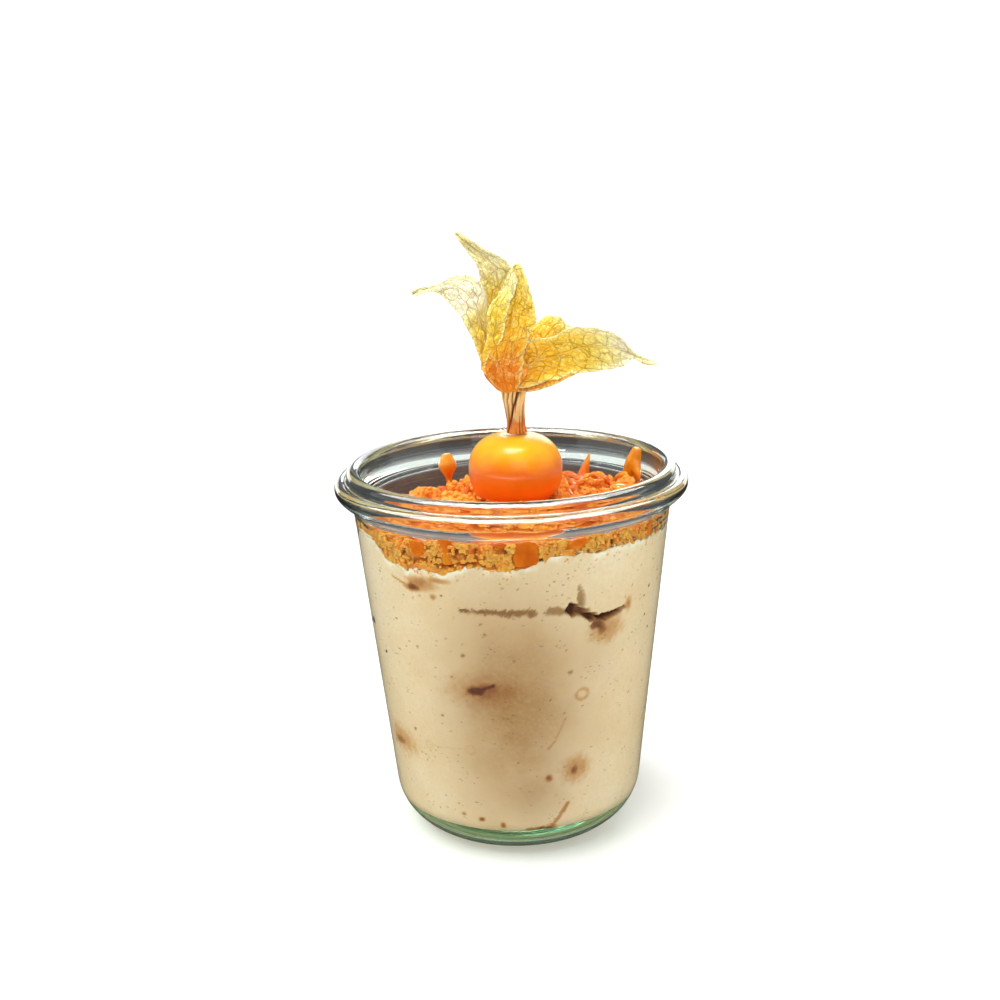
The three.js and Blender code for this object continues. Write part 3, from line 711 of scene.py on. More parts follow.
# Broad parts where soaked biscuit shows faintly through the cream, and painted shade: at the
# front middle the brown also stands for the darker middle that light from the sides leaves.
# Bearing, height, half width, half height, strength.
TAN_AND_SHADE = [
    (-90.5, 33.0, 13.0, 24.0, 1.0), (-86.0, 16.0, 9.0, 9.0, 0.8), (-64.0, 42.0, 9.0, 11.0, 0.4),
    (24.0, 26.0, 9.0, 14.0, 0.8), (92.0, 34.0, 10.0, 17.0, 0.9), (150.0, 24.0, 8.0, 12.0, 0.7),
]
# Streaks where the spoon dragged: two ends as bearing and height, half width, strength.
STREAKS = [
    (-78.4, 5.9, -73.6, 7.0, 0.8, 0.5), (-75.0, 6.6, -66.2, 11.6, 0.42, 0.42),
    (-76.8, 24.4, -73.6, 26.0, 0.24, 0.24), (-73.6, 26.2, -69.2, 30.6, 0.2, 0.15),
    (-17.0, 22.8, -10.0, 25.2, 0.34, 0.2), (-104.6, 37.2, -98.9, 38.4, 0.3, 0.95),
    (-86.0, 6.4, -78.0, 6.8, 0.5, 0.6), (-132.2, 23.2, -110.0, 24.2, 0.16, 0.07),
    (-141.0, 57.9, -134.6, 57.0, 0.22, 0.4), (-110.0, 53.3, -84.0, 52.9, 0.6, 0.08),
]


def on_face(bearings, heights, bearing, height):
    """Places on the cream's face as (along, up) from one point of it."""
    off = (bearings - bearing + 180) % 360 - 180
    return np.radians(off) * inner_radius(heights), heights - height


def oval(bearings, heights, mark, tilt=0):
    """How far places are from the middle of an oval mark, whose edge is at 1."""
    bearing, height, wide, tall = mark
    x, y = on_face(bearings, heights, bearing, height)
    c, s = math.cos(math.radians(tilt)), math.sin(math.radians(tilt))
    x, y = c * x + s * y, c * y - s * x
    return np.sqrt((x / wide) ** 2 + (y / tall) ** 2)


def from_line(bearings, heights, line):
    """Where each point lies along a line on the face, from 0 to 1, and its distance in mm."""
    b0, z0, b1, z1 = line
    x, y = on_face(bearings, heights, b0, z0)
    reach = wall_at(z0)
    ex, ey = math.radians(b1 - b0) * reach, z1 - z0
    t = np.clip((x * ex + y * ey) / (ex * ex + ey * ey), 0, 1)
    return t, np.hypot(x - t * ex, y - t * ey)


def hollows(bearings, heights, ragged):
    """Depth in millimetres and darkness of the ragged hollows, cracks and small bubbles; the
    darkness is partly brown and partly painted shade, and in the bubbles painted shade.
    """
    depth, dark = np.zeros(len(bearings)), np.zeros(len(bearings))
    for *mark, deep, tilt, brown_and_shade in HOLLOWS:
        near = oval(bearings, heights, mark, tilt) + 0.34 * ragged
        depth = np.maximum(depth, deep * smoothstep(1.15 - near, 0.0, 0.6))
        dark = np.maximum(dark, brown_and_shade * smoothstep(1.2 - near, 0.0, 0.5))
    for *line, thin, thick, deep, brown_and_shade in CRACKS:
        t, away = from_line(bearings, heights, line)
        near = away / (thin + (thick - thin) * t) + 0.85 * ragged
        depth = np.maximum(depth, deep * smoothstep(1.1 - near, 0.0, 0.6))
        dark = np.maximum(dark, brown_and_shade * smoothstep(1.15 - near, 0.0, 0.6))
    random = np.random.default_rng(5)
    # Small bubbles; their darkening is painted shade.
    for _ in range(COUNT["bubbles"]):
        bearing = random.uniform(-180, 180)
        height = 8.5 + 52 * math.sqrt(random.uniform(0, 1))
        wide = 0.22 + 0.36 * random.uniform(0, 1) ** 4
        tall = wide * random.uniform(0.5, 1.0)
        near = oval(bearings, heights, (bearing, height, wide, tall)) + 0.25 * ragged
        depth = np.maximum(depth, 0.4 * wide * smoothstep(1.1 - near, 0.0, 0.8))
        dark = np.maximum(dark, random.uniform(0.1, 0.5) * smoothstep(1.1 - near, 0.0, 0.8))
    return depth, dark


def tan_and_shade_share(bearings, heights, ragged):
    """How much biscuit brown shows through the cream, from 0 to 1; at the front middle it is also
    painted shade.
    """
    total = np.zeros(len(bearings))
    for bearing, height, wide, tall, strength in TAN_AND_SHADE:
        x, y = on_face(bearings, heights, bearing, height)
        near = (x / wide) ** 2 + (y / tall) ** 2
        total = np.maximum(total, strength * np.exp(-0.9 * near))
    return np.clip(total * (1 + 0.07 * ragged), 0, 1)


def soak(bearings, heights, ragged):
    """How brown the coffee has made the face, from 0 to 1."""
    brown = np.zeros(len(bearings))
    for *mark, strength in STAINS:
        near = oval(bearings, heights, mark) + 0.18 * ragged
        brown = np.maximum(brown, strength * smoothstep(1.35 - near, 0.0, 1.1))
    for bearing, height, reach, wide, strength in RINGS:
        x, y = on_face(bearings, heights, bearing, height)
        near = np.abs(np.hypot(x, y) - reach) / wide + 0.3 * ragged
        brown = np.maximum(brown, strength * smoothstep(1.2 - near, 0.0, 1.0))
    for *line, wide, strength in STREAKS:
        near = from_line(bearings, heights, line)[1] / wide + 0.25 * ragged
        brown = np.maximum(brown, strength * smoothstep(1.4 - near, 0.0, 1.0))
    return brown


# How much higher the cream's edge stands at the wall, by bearing.
EDGE_LIFT = [
    (-180, 0.3), (-150, 0.2), (-138, -1.2), (-128, -1.3), (-117, -0.8), (-107, 0.1),
    (-88, -0.3), (-78, 1.0), (-64, 1.5), (-50, 1.2), (-36, 0.7), (-22, -0.2), (10, 0.5),
    (40, -0.4), (75, 0.8), (110, -0.6), (145, 0.5), (180, 0.3),
]


def edge_lift(bearings):
    """A smooth line through EDGE_LIFT."""
    spots = np.array(EDGE_LIFT, float)
    beside = (-5, -2, 2, 5)
    return sum(np.interp((bearings + off + 180) % 360 - 180, *spots.T) for off in beside) / 4


def cream_top(x, y):
    ripples = np.sin(0.42 * x + 0.9) * np.cos(0.35 * y) + 0.6 * np.sin(0.8 * y - 0.5 * x)
    wall = smoothstep(np.hypot(x, y), 23.5, 27.5)
    off_left = (np.degrees(np.arctan2(y, x)) + 158) / 13
    return 61.9 + 0.035 * x + 0.35 * ripples + 3.4 * wall * np.exp(-off_left ** 2)


def polar(points):
    return np.degrees(np.arctan2(points[:, 1], points[:, 0])), points[:, 2]


def filled_rings(bottom, top, segments, wall_rows, cap_rows, top_rows):
    """Rings of a body that fills the jar between two heights, given as functions of x and y."""
    a = around(segments)
    c, s = np.cos(a), np.sin(a)
    reach = inner_radius(np.full(segments, TOP_AT_WALL)) + INTO_WALL
    low, high = bottom(reach * c, reach * s), top(reach * c, reach * s)
    rings = []
    for k in range(1, cap_rows):
        x, y = reach * c * k / cap_rows, reach * s * k / cap_rows
        rings.append(np.column_stack([x, y, bottom(x, y)]))
    for k in range(wall_rows + 1):
        z = low + (high - low) * k / wall_rows
        r = inner_radius(z) + INTO_WALL
        rings.append(np.column_stack([r * c, r * s, z]))
    for k in range(top_rows - 1, 0, -1):
        r = (inner_radius(high) + INTO_WALL) * k / top_rows
        rings.append(np.column_stack([r * c, r * s, top(r * c, r * s)]))
    return np.array(rings)


def build_cream():
    segments, wall_rows, top_rows = 520, 156, 12
    unmarked = 6  # rings under the cream that no mark reaches
    a = around(segments)
    c, s = np.cos(a), np.sin(a)
    low_r, low_z = WALL_LOW
    rows = []
    edge = low_r - INNER_BEND
    for r in np.linspace(2.0, edge, 5)[:-1]:
        z = FLOOR["middle"] + (FLOOR["edge"] - FLOOR["middle"]) * r / edge - INTO_WALL
        rows.append(np.column_stack([r * c, r * s, np.full(segments, z)]))
    for r, z in arc(edge, low_z, INNER_BEND + INTO_WALL, -90, 0, 16):
        rows.append(np.column_stack([r * c, r * s, np.full(segments, z)]))
    reach = inner_radius(np.full(segments, TOP_AT_WALL)) + INTO_WALL
    top = cream_top(reach * c, reach * s)
    rim_points = np.column_stack([reach * c, reach * s, 0 * c])
    top = top + 0.4 * fractal(rim_points, 0.4, 3, 3) + 0.7 * np.abs(fractal(rim_points, 1.1, 3, 4))
    top += edge_lift(np.degrees(np.arctan2(s, c)))
    first_wall = len(rows)
    for k in range(1, wall_rows + 1):
        z = low_z + (top - low_z) * k / wall_rows
        r = inner_radius(z) + INTO_WALL
        rows.append(np.column_stack([r * c, r * s, z]))
    for k in range(top_rows - 1, 0, -1):
        x, y = reach * c * k / top_rows, reach * s * k / top_rows
        near_edge = smoothstep(np.full(segments, k / top_rows), 0.8, 1.0)
        z = cream_top(x, y) * (1 - near_edge) + top * near_edge
        rows.append(np.column_stack([x, y, z]))
    rings = np.array(rows)
    points, faces = closed_rings(rings)
    bearings, heights = polar(points)
    ragged = fractal(points, 1.2, 4, 21, 0.65)
    row = np.repeat(np.arange(len(rings)), segments)
    face = np.zeros(len(points), bool)
    face[:len(row)] = (row >= unmarked) & (row < first_wall + wall_rows)
    depth, dark = (np.where(face, value, 0) for value in hollows(bearings, heights, ragged))
    # A painted highlight: pale in a patchy band just below the cream's top edge.
    below = np.tile(top, len(rings)) - heights[:len(row)]
    patchy = smoothstep(fractal(points, 0.5, 3, 27), -0.7, 0.5)
    highlight_band = np.exp(-(np.append(below, [9, 9]) / 1.1) ** 2) * patchy
    outward = points[:, :2] / np.maximum(np.hypot(points[:, 0], points[:, 1]), 1)[:, None]
    points[:, :2] -= outward * depth[:, None]
    cream = add_object("cream_filling", points, faces, cream_material())
    set_value(cream, "hollow_brown_and_shade", dark)
    set_value(cream, "pale", np.where(face, 0.75 * highlight_band, 0))
    set_value(cream, "soak", np.where(face, soak(bearings, heights, ragged), 0))
    set_value(cream, "tan", tan_and_shade_share(bearings, heights, fractal(points, 0.22, 3, 23)))
    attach(cream, "root")
    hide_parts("cream")


# Pieces of soaked biscuit against the glass: bearing, height, half depth, width and height.
SOAKED = [
    (-128.8, 56.8, 2.4, 2.4, 1.0), (-52.6, 46.6, 2.2, 1.5, 1.4), (-107.6, 36.6, 3.2, 3.4, 1.6),
    (-151.5, 22.2, 2.4, 2.2, 1.6), (-65.0, 18.8, 2.6, 1.9, 1.7), (-73.0, 9.8, 2.4, 2.6, 1.2),
]


def build_soaked_biscuits():
    material = biscuit_material()
    base, faces = BALLS[5]
    for i, (bearing, height, deep, wide, tall) in enumerate(SOAKED):
        lumpy = base * (1 + 0.16 * fractal(base + 9 * i, 1.6, 4, 40 + i))[:, None]
        along, across, up = lumpy[:, 0] * deep, lumpy[:, 1] * wide, lumpy[:, 2] * tall
        turn = math.radians(bearing)
        centre = wall_at(height) - 0.6
        x = (centre + along) * math.cos(turn) - across * math.sin(turn)
        y = (centre + along) * math.sin(turn) + across * math.cos(turn)
        z = height + up
        r = np.hypot(x, y)
        most = inner_radius(z) + INTO_WALL * 0.5
        keep = np.minimum(1, most / np.maximum(r, 0.1))
        points = np.column_stack([x * keep, y * keep, z])
        piece = add_object(f"soaked_biscuit_piece_{i + 1}", points, faces, material)
        bearings, heights = polar(points)
        set_value(piece, "soak", soak(bearings, heights, fractal(points, 0.9, 4, 21)))
        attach(piece, "root")
        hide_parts(f"soaked_biscuit_{i + 1}")


# ---------------------------------------------------------------- berry
def build_berry():
    rows, segments = 72, 128
    t = np.radians(np.linspace(-89, 89, rows))
    power = 2 / BERRY["power"]
    flat = np.abs(np.cos(t)) ** power
    tall = np.sign(np.sin(t)) * np.abs(np.sin(t)) ** power
    a = around(segments)
    lobes = 1 + 0.008 * np.cos(5 * a + 0.6) + 0.006 * np.cos(2 * a + 2.0)
    r = BERRY["radius"] * flat[:, None] * (1 + (lobes - 1) * np.abs(flat[:, None]))
    sink = 0.7 * np.exp(-(flat[:, None] / 0.24) ** 2) * (tall[:, None] > 0)
    z = BERRY["z"] + BERRY["half_height"] * tall[:, None] - sink + 0 * a
    rings = np.stack([BERRY["x"] + r * np.cos(a), r * np.sin(a), z], -1)
    points, faces = closed_rings(rings)
    berry = add_object("golden_berry", points, faces, berry_material())
    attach(berry, "root")
    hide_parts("berry")


# ---------------------------------------------------------------- crumble
def heap_top(x, y):
    wall = smoothstep(np.hypot(x, y), 20, 28)
    ripples = np.sin(0.55 * x) * np.cos(0.5 * y + 0.6) + 0.6 * np.sin(0.9 * x + 0.7 * y)
    back_left = np.exp(-(((x + 18) / 9) ** 2 + ((y - 16) / 9) ** 2))
    return 66.3 + 0.04 * x - 0.05 * y + 0.5 * ripples - 0.8 * wall - 0.9 * back_left


def scattered(low, high, spacing, seed):
    """Seeds in a box, about spacing apart."""
    random = np.random.default_rng(seed)
    low, high = np.array(low), np.array(high)
    steps = [np.arange(a, b + spacing, spacing) for a, b in zip(low, high)]
    grid = np.stack(np.meshgrid(*steps, indexing="ij"), -1).reshape(-1, 3)
    return grid + random.uniform(-0.42, 0.42, grid.shape) * spacing


def cell_edges(points, seeds):
    """For each point, how far it is from the border between its two nearest seeds."""
    tree = kdtree.KDTree(len(seeds))
    for i, seed in enumerate(seeds):
        tree.insert(seed, i)
    tree.balance()
    found = [tree.find_n(p, 2) for p in points]
    gap = np.array([f[1][2] - f[0][2] for f in found])
    owner = np.array([f[0][1] for f in found])
    return gap, owner


def in_glass(points, margin=INTO_WALL):
    """The points, with those past the inner wall brought back to it."""
    r = np.hypot(points[:, 0], points[:, 1])
    keep = np.minimum(1, (inner_radius(points[:, 2]) + margin) / np.maximum(r, 0.1))
    return np.column_stack([points[:, :2] * keep[:, None], points[:, 2]])


def grains(points, seed):
    """Rounded sandy bumps with sharp valleys between them, from 0 to about 1."""
    return (0.62 * np.abs(noise(points, 1.05, seed)) + 0.4 * np.abs(noise(points, 2.1, seed + 1))
            + 0.2 * np.abs(noise(points, 4.0, seed + 2)))


def build_bed(material):
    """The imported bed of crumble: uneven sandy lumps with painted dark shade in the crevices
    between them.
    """
    rings = filled_rings(lambda x, y: cream_top(x, y) - 0.7, lambda x, y: heap_top(x, y) - 0.9,
                         620, 30, 6, 62)
    points, faces = closed_rings(rings)
    bent = points + 1.1 * np.column_stack([fractal(points, 0.35, 2, k) for k in (50, 51, 52)])
    gap, owner = cell_edges(bent, scattered((-31, -31, 57), (31, 31, 73), 4.3, 3))
    lump = np.clip(gap / 1.9, 0, 1) ** 0.5
    sand = grains(points, 8)
    r = np.hypot(points[:, 0], points[:, 1])
    inward = np.column_stack([-points[:, :2] / np.maximum(r, 1)[:, None], np.zeros(len(points))])
    at_wall = smoothstep(r, inner_radius(points[:, 2]) - 0.8, inner_radius(points[:, 2]) - 0.1)
    buried = smoothstep(cream_top(points[:, 0], points[:, 1]) + 0.4 - points[:, 2], -0.8, 0.4)
    sunk = (1.0 * (1 - lump) + 0.55 * np.clip(0.55 - sand, 0, 1) + 1.2) * (1 - buried) + 0.04
    points = points + inward * (sunk * at_wall)[:, None]
    on_top = points[:, 2] > heap_top(points[:, 0], points[:, 1]) - 1.6
    points[:, 2] += np.where(on_top, 1.5 * (lump - 0.6) + 0.9 * (sand - 0.4), 0) * (1 - at_wall)
    bed = add_object("crumble_bed", in_glass(points), faces, material)
    tints = np.random.default_rng(9).uniform(0, 1, owner.max() + 1) ** 2
    # Painted shade between lumps and in the valleys of the sand.
    set_value(bed, "cleft_shade", np.clip(np.maximum(1 - lump * 1.6, 0.9 - 3.2 * sand), 0, 1))
    set_value(bed, "tint", tints[owner])
    return bed


def broken_chunk(random, size, detail):
    """A broken piece of crumble: a ball with flats cut off it and a coarse sandy face."""
    base, faces = BALLS[detail]
    p = base.copy()
    for _ in range(6):
        n = random.normal(size=3)
        n /= np.linalg.norm(n)
        over = np.maximum(p @ n - random.uniform(0.5, 0.85), 0)
        p -= over[:, None] * n * 0.8
    p *= 1 + 0.2 * fractal(base * size + random.uniform(0, 50), 0.35, 3, 5)[:, None]
    sand = grains(p * size + random.uniform(0, 50), 6)
    p = p * (1 + 0.75 * (sand - 0.4) / size)[:, None]
    turn = np.linalg.qr(random.normal(size=(3, 3)))[0]
    stretch = random.uniform([0.85, 0.7, 0.6], [1.2, 1.0, 0.9])
    if np.linalg.det(turn) < 0:
        turn[:, 0] *= -1
    return (p * stretch * size) @ turn, faces, sand


def crumble_piece(name, bodies, tints, cleft_shades, material, smooth=True):
    """One piece of many bodies, with a tint and, unless None, a value of painted shade for each
    point.
    """
    points, faces = gathered(bodies)
    piece = add_object(name, points, faces, material, smooth)
    set_value(piece, "tint", np.concatenate(tints))
    set_value(piece, "cleft_shade", np.concatenate(cleft_shades) if cleft_shades else np.zeros(len(points)))
    return piece


def crumble_on_glass(a):
    """The heights on the glass at an angle between which there is crumble."""
    x, y = np.array([BY_THE_WALL * math.cos(a)]), np.array([BY_THE_WALL * math.sin(a)])
    return cream_top(x, y)[0] + edge_lift(np.degrees([a]))[0], heap_top(x, y)[0]


def crumb(random):
    """A small uneven crumb, of radius about 1."""
    base, faces = BALLS[2]
    return base * (1 + random.uniform(-0.25, 0.25, (len(base), 1))), faces


def build_chunks(material):
    """The broken pieces that lie on the heap."""
    random = np.random.default_rng(17)
    bodies, tints, cleft_shades = [], [], []
    count = COUNT["chunks"]
    for i in range(count):
        r = 25.8 * math.sqrt((i + 0.5) / count)
        a = i * math.pi * (3 - math.sqrt(5)) + random.uniform(-0.3, 0.3)
        x, y = r * math.cos(a), r * math.sin(a)
        size = random.uniform(1.5, 2.6) + (1.5 if i % 4 == 0 else 0)
        if math.hypot(x - BERRY["x"], y) < BERRY["radius"] * 0.7:
            continue
        p, f, sand = broken_chunk(random, size, 5 if i % 4 == 0 else 4)
        z = heap_top(np.array([x]), np.array([y]))[0] + random.uniform(-0.9, 0.5)
        p = in_glass(p + [x, y, z - 0.2 * size])
        bodies.append((p, f))
        tints.append(np.full(len(p), random.uniform(0, 1) ** 2))
        # Painted shade in the valleys of the sand.
        cleft_shades.append(np.clip(1.05 - 3.0 * sand, 0, 1))
    return crumble_piece("crumble_chunks", bodies, tints, cleft_shades, material)


def build_pressed(material):
    """Lumps of crumble pressed flat on the glass all round, rough where they touch it."""
    random = np.random.default_rng(53)
    bodies, tints, cleft_shades = [], [], []
    count = COUNT["pressed"]
    for i in range(count):
        a = TAU * (i + random.uniform(-0.3, 0.3)) / count
        low, high = crumble_on_glass(a)
        large = i % 2 == 0
        size = random.uniform(2.1, 3.0) if large else random.uniform(1.1, 1.7)
        z = random.uniform(low + 0.6 * size, max(high - 0.5 * size, low + 0.7 * size))
        p, f, sand = broken_chunk(random, size, 4)
        reach = wall_at(z) - size * random.uniform(0.72, 0.95)
        p = p + [reach * math.cos(a), reach * math.sin(a), z]
        bodies.append((in_glass(p, INTO_WALL - 0.8 * np.clip(0.62 - sand, 0, 1)), f))
        tints.append(np.full(len(p), random.uniform(0.1, 1) ** 1.5))
        # Painted shade on the parts that lie back from the glass, and in the valleys of the sand.
        behind = smoothstep(inner_radius(p[:, 2]) - np.hypot(p[:, 0], p[:, 1]), 0.3, 1.6)
        cleft_shades.append(np.clip(np.maximum(0.8 - 3.0 * sand, behind), 0, 0.9))
    return crumble_piece("crumble_pressed", bodies, tints, cleft_shades, material)


def under_caramel(bearing, height):
    """Whether a run of caramel covers this place on the glass."""
    for places, radii in WALL_RUNS:
        t = np.linspace(0, 1, 9)
        route, reach = spline(places, t), spline([[x] for x in radii], t)[:, 0]
        away = np.hypot(np.radians(route[:, 0] - bearing) * BY_THE_WALL, route[:, 1] - height)
        if np.any(away < 0.9 * reach):
            return True
    return False


def build_grains(material):
    """Small crumbs pressed against the glass, some of them spilt onto the cream below."""
    random = np.random.default_rng(37)
    bodies, tints = [], []
    for i in range(COUNT["grains"]):
        a = random.uniform(0, TAU)
        low, high = crumble_on_glass(a)
        spilt = i % 7 == 0
        z = low - 1.7 * random.uniform(0, 1) ** 2 if spilt else random.uniform(low, high + 0.4)
        size = random.uniform(0.16, 0.4) if spilt else random.uniform(0.22, 0.6)
        if under_caramel((math.degrees(a) + 180) % 360 - 180, z):
            continue
        p, faces = crumb(random)
        reach = wall_at(z) - size * random.uniform(0.1, 0.9)
        p = p * random.uniform(0.7, 1.1, 3) * size + [reach * math.cos(a), reach * math.sin(a), z]
        bodies.append((in_glass(p), faces))
        tints.append(np.full(len(p), random.uniform(0, 0.8) ** 2))
    return crumble_piece("crumble_grains", bodies, tints, None, material)


def surface_tree(*objects):
    """What lies on top of these pieces, to be asked for its height."""
    points, faces = gathered([
        (np.array([v.co[:] for v in o.data.vertices]) / MM, triangles(o)) for o in objects])
    return BVHTree.FromPolygons(points.tolist(), faces.tolist())


def triangles(obj):
    obj.data.calc_loop_triangles()
    flat = np.zeros(len(obj.data.loop_triangles) * 3, np.int32)
    obj.data.loop_triangles.foreach_get("vertices", flat)
    return flat.reshape(-1, 3)


def drop_on(tree, x, y):
    """The height of what lies under (x, y), or None."""
    place = tree.ray_cast(Vector((x, y, 100)), Vector((0, 0, -1)))[0]
    return None if place is None else place.z


def build_crumbs(material, tree):
    """Loose crumbs over the heap."""
    random = np.random.default_rng(29)
    bodies, tints = [], []
    for _ in range(COUNT["crumbs"]):
        r, a = 28.2 * math.sqrt(random.uniform(0.02, 1)), random.uniform(0, TAU)
        x, y = r * math.cos(a), r * math.sin(a)
        size = 0.28 + 0.6 * random.uniform(0, 1) ** 2.5
        if math.hypot(x - BERRY["x"], y) < BERRY["radius"] * 0.75:
            continue
        z = drop_on(tree, x, y)
        if z is None:
            continue
        p, faces = crumb(random)
        p = p * random.uniform(0.65, 1.1, 3) * size + [x, y, z + 0.25 * size]
        bodies.append((in_glass(p), faces))
        tints.append(np.full(len(p), random.uniform(0, 0.8)))
    return crumble_piece("crumble_crumbs", bodies, tints, None, material, smooth=False)


# ---------------------------------------------------------------- caramel
# Runs on the inner wall: bearing, height and depth off the glass of each point, then the radii.
WALL_RUNS = [
    ([(119, 62.5, 1.2), (119, 65.5, 0.9), (119.3, 68.4, 1.0), (119.2, 71.0, 0.9)],
     [1.2, 0.75, 2.1, 0.9]),
    ([(57, 63.2, 1.4), (55.5, 66.2, 1.0), (53.5, 70.6, 0.6)], [2.4, 1.3, 0.25]),
    ([(30, 63.8, 1.4), (28, 67.5, 1.1), (26, 71.5, 1.0), (25, 74.1, 0.6)], [1.9, 1.6, 1.6, 0.9]),
    ([(26, 71.6, 1.0), (22, 69.4, 0.9), (20.2, 67.4, 0.7)], [1.4, 0.9, 0.4]),
    ([(-85, 62.6, 1.6), (-85.5, 65, 1.6), (-85.2, 68.2, 1.1)], [2.5, 2.7, 1.3]),
    ([(-114.4, 62.4, 1.0), (-114.8, 65.4, 0.9), (-115.4, 68.4, 0.9)], [1.3, 1.0, 1.4]),
    ([(-127.4, 63.4, 1.1), (-126.4, 65.2, 1.0), (-125, 66.6, 1.0)], [1.2, 1.8, 0.9]),
    ([(-72, 65.4, 1.0), (-66, 66.2, 1.0), (-61, 66.0, 0.9)], [0.8, 1.5, 0.6]),
    ([(-96, 66.4, 0.9), (-93, 67.4, 0.9)], [1.0, 1.1]),
    ([(-31, 63.8, 0.8), (-31, 65.8, 0.8), (-31, 68, 0.5)], [1.4, 1.0, 0.4]),
]
# Drizzle over the heap, by the places each strand passes over.
DRIZZLE = [
    [(-22, 2), (-15, 7), (-9, 12), (-2, 17)], [(-20, -8), (-15, -1), (-12, 7)],
    [(10.5, 19), (12, 13), (15, 7), (21, 4)], [(24, 9), (18, 12), (12, 9), (13, 3)],
    [(-14, -17), (-6, -15), (3, -18), (12, -15), (20, -11)],
    [(-24, 8), (-17, 13), (-13, 10), (-10, 5)], [(9, 14), (14, 16), (20, 13)],
    [(-19, -15), (-12, -20), (-4, -22)], [(8, -21), (15, -19), (22, -14)],
]


def strand(points, radii, sides=12):
    """A round strand through points, as (points, triangles), with closed ends."""
    path = np.asarray(points, float)
    ahead = np.gradient(path, axis=0)
    ahead /= np.linalg.norm(ahead, axis=1)[:, None]
    side = np.cross(ahead, [0.31, 0.17, 0.93])
    side /= np.linalg.norm(side, axis=1)[:, None]
    up = np.cross(side, ahead)
    a = around(sides)
    radii = np.asarray(radii)[:, None, None]
    ring = (side[:, None] * np.cos(a)[None, :, None] + up[:, None] * np.sin(a)[None, :, None])
    body, faces = closed_rings(path[:, None] + ring * radii)
    flat = []
    for f in faces:
        flat += [f] if len(f) == 3 else [[f[0], f[1], f[2]], [f[0], f[2], f[3]]]
    return body, np.array(flat)


def remeshed(obj, voxel, smooth_steps):
    """The piece's parts run together into one skin, as thick sauce does."""
    remesh = obj.modifiers.new("remesh", "REMESH")
    remesh.mode = "VOXEL"
    remesh.voxel_size = voxel * MM
    relax = obj.modifiers.new("smooth", "SMOOTH")
    relax.factor = 0.5
    relax.iterations = smooth_steps
    graph = bpy.context.evaluated_depsgraph_get()
    mesh = bpy.data.meshes.new_from_object(obj.evaluated_get(graph))
    obj.modifiers.clear()
    obj.data = mesh
    mesh.polygons.foreach_set("use_smooth", [True] * len(mesh.polygons))


def build_caramel(tree):
    random = np.random.default_rng(41)
    bodies = []
    t, t_long = np.linspace(0, 1, 26), np.linspace(0, 1, 60)
    for places, radii in WALL_RUNS:
        route = spline(places, t)
        b = np.radians(route[:, 0])
        r = inner_radius(route[:, 1]) - route[:, 2]
        path = np.column_stack([r * np.cos(b), r * np.sin(b), route[:, 1]])
        bodies.append(strand(path, spline([[x] for x in radii], t)[:, 0]))
    for places in DRIZZLE:
        route = spline(places, t_long)
        z = [drop_on(tree, x, y) or HEAP_LEVEL for x, y in route]
        z = np.convolve(np.pad(z, 2, "edge"), np.ones(5) / 5, "valid") + 0.15
        wide = 0.75 + 0.35 * noise(np.column_stack([route, z]), 0.35, 60)
        bodies.append(strand(np.column_stack([route, z]), wide))
    for _ in range(COUNT["pools"]):  # drops and pools between the crumbs
        r, a = 26.5 * math.sqrt(random.uniform(0.12, 1)), random.uniform(0, TAU)
        x, y = r * math.cos(a), r * math.sin(a)
        if math.hypot(x - BERRY["x"], y) < BERRY["radius"]:
            continue
        z = drop_on(tree, x, y) or HEAP_LEVEL
        size = random.uniform(0.7, 1.9)
        base, faces = BALLS[3]
        bodies.append((base * [size, size * 0.9, size * 0.45] + [x, y, z], faces))
    points, faces = gathered(bodies)
    caramel = add_object("caramel_sauce", points, faces, caramel_material())
    remeshed(caramel, 0.26, 4)
    co = np.array([v.co[:] for v in caramel.data.vertices]) / MM
    caramel.data.vertices.foreach_set("co", (in_glass(co, INTO_WALL + 0.03) * MM).ravel())
    return caramel


def build_topping():
    material = crumble_material()
    bed = build_bed(material)
    chunks = build_chunks(material)
    pressed = build_pressed(material)
    loose = build_grains(material)
    tree = surface_tree(bed, chunks)
    crumbs = build_crumbs(material, tree)
    caramel = build_caramel(tree)
    for piece in (bed, chunks, pressed, loose, crumbs, caramel):
        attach(piece, "root")
        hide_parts("crumble")


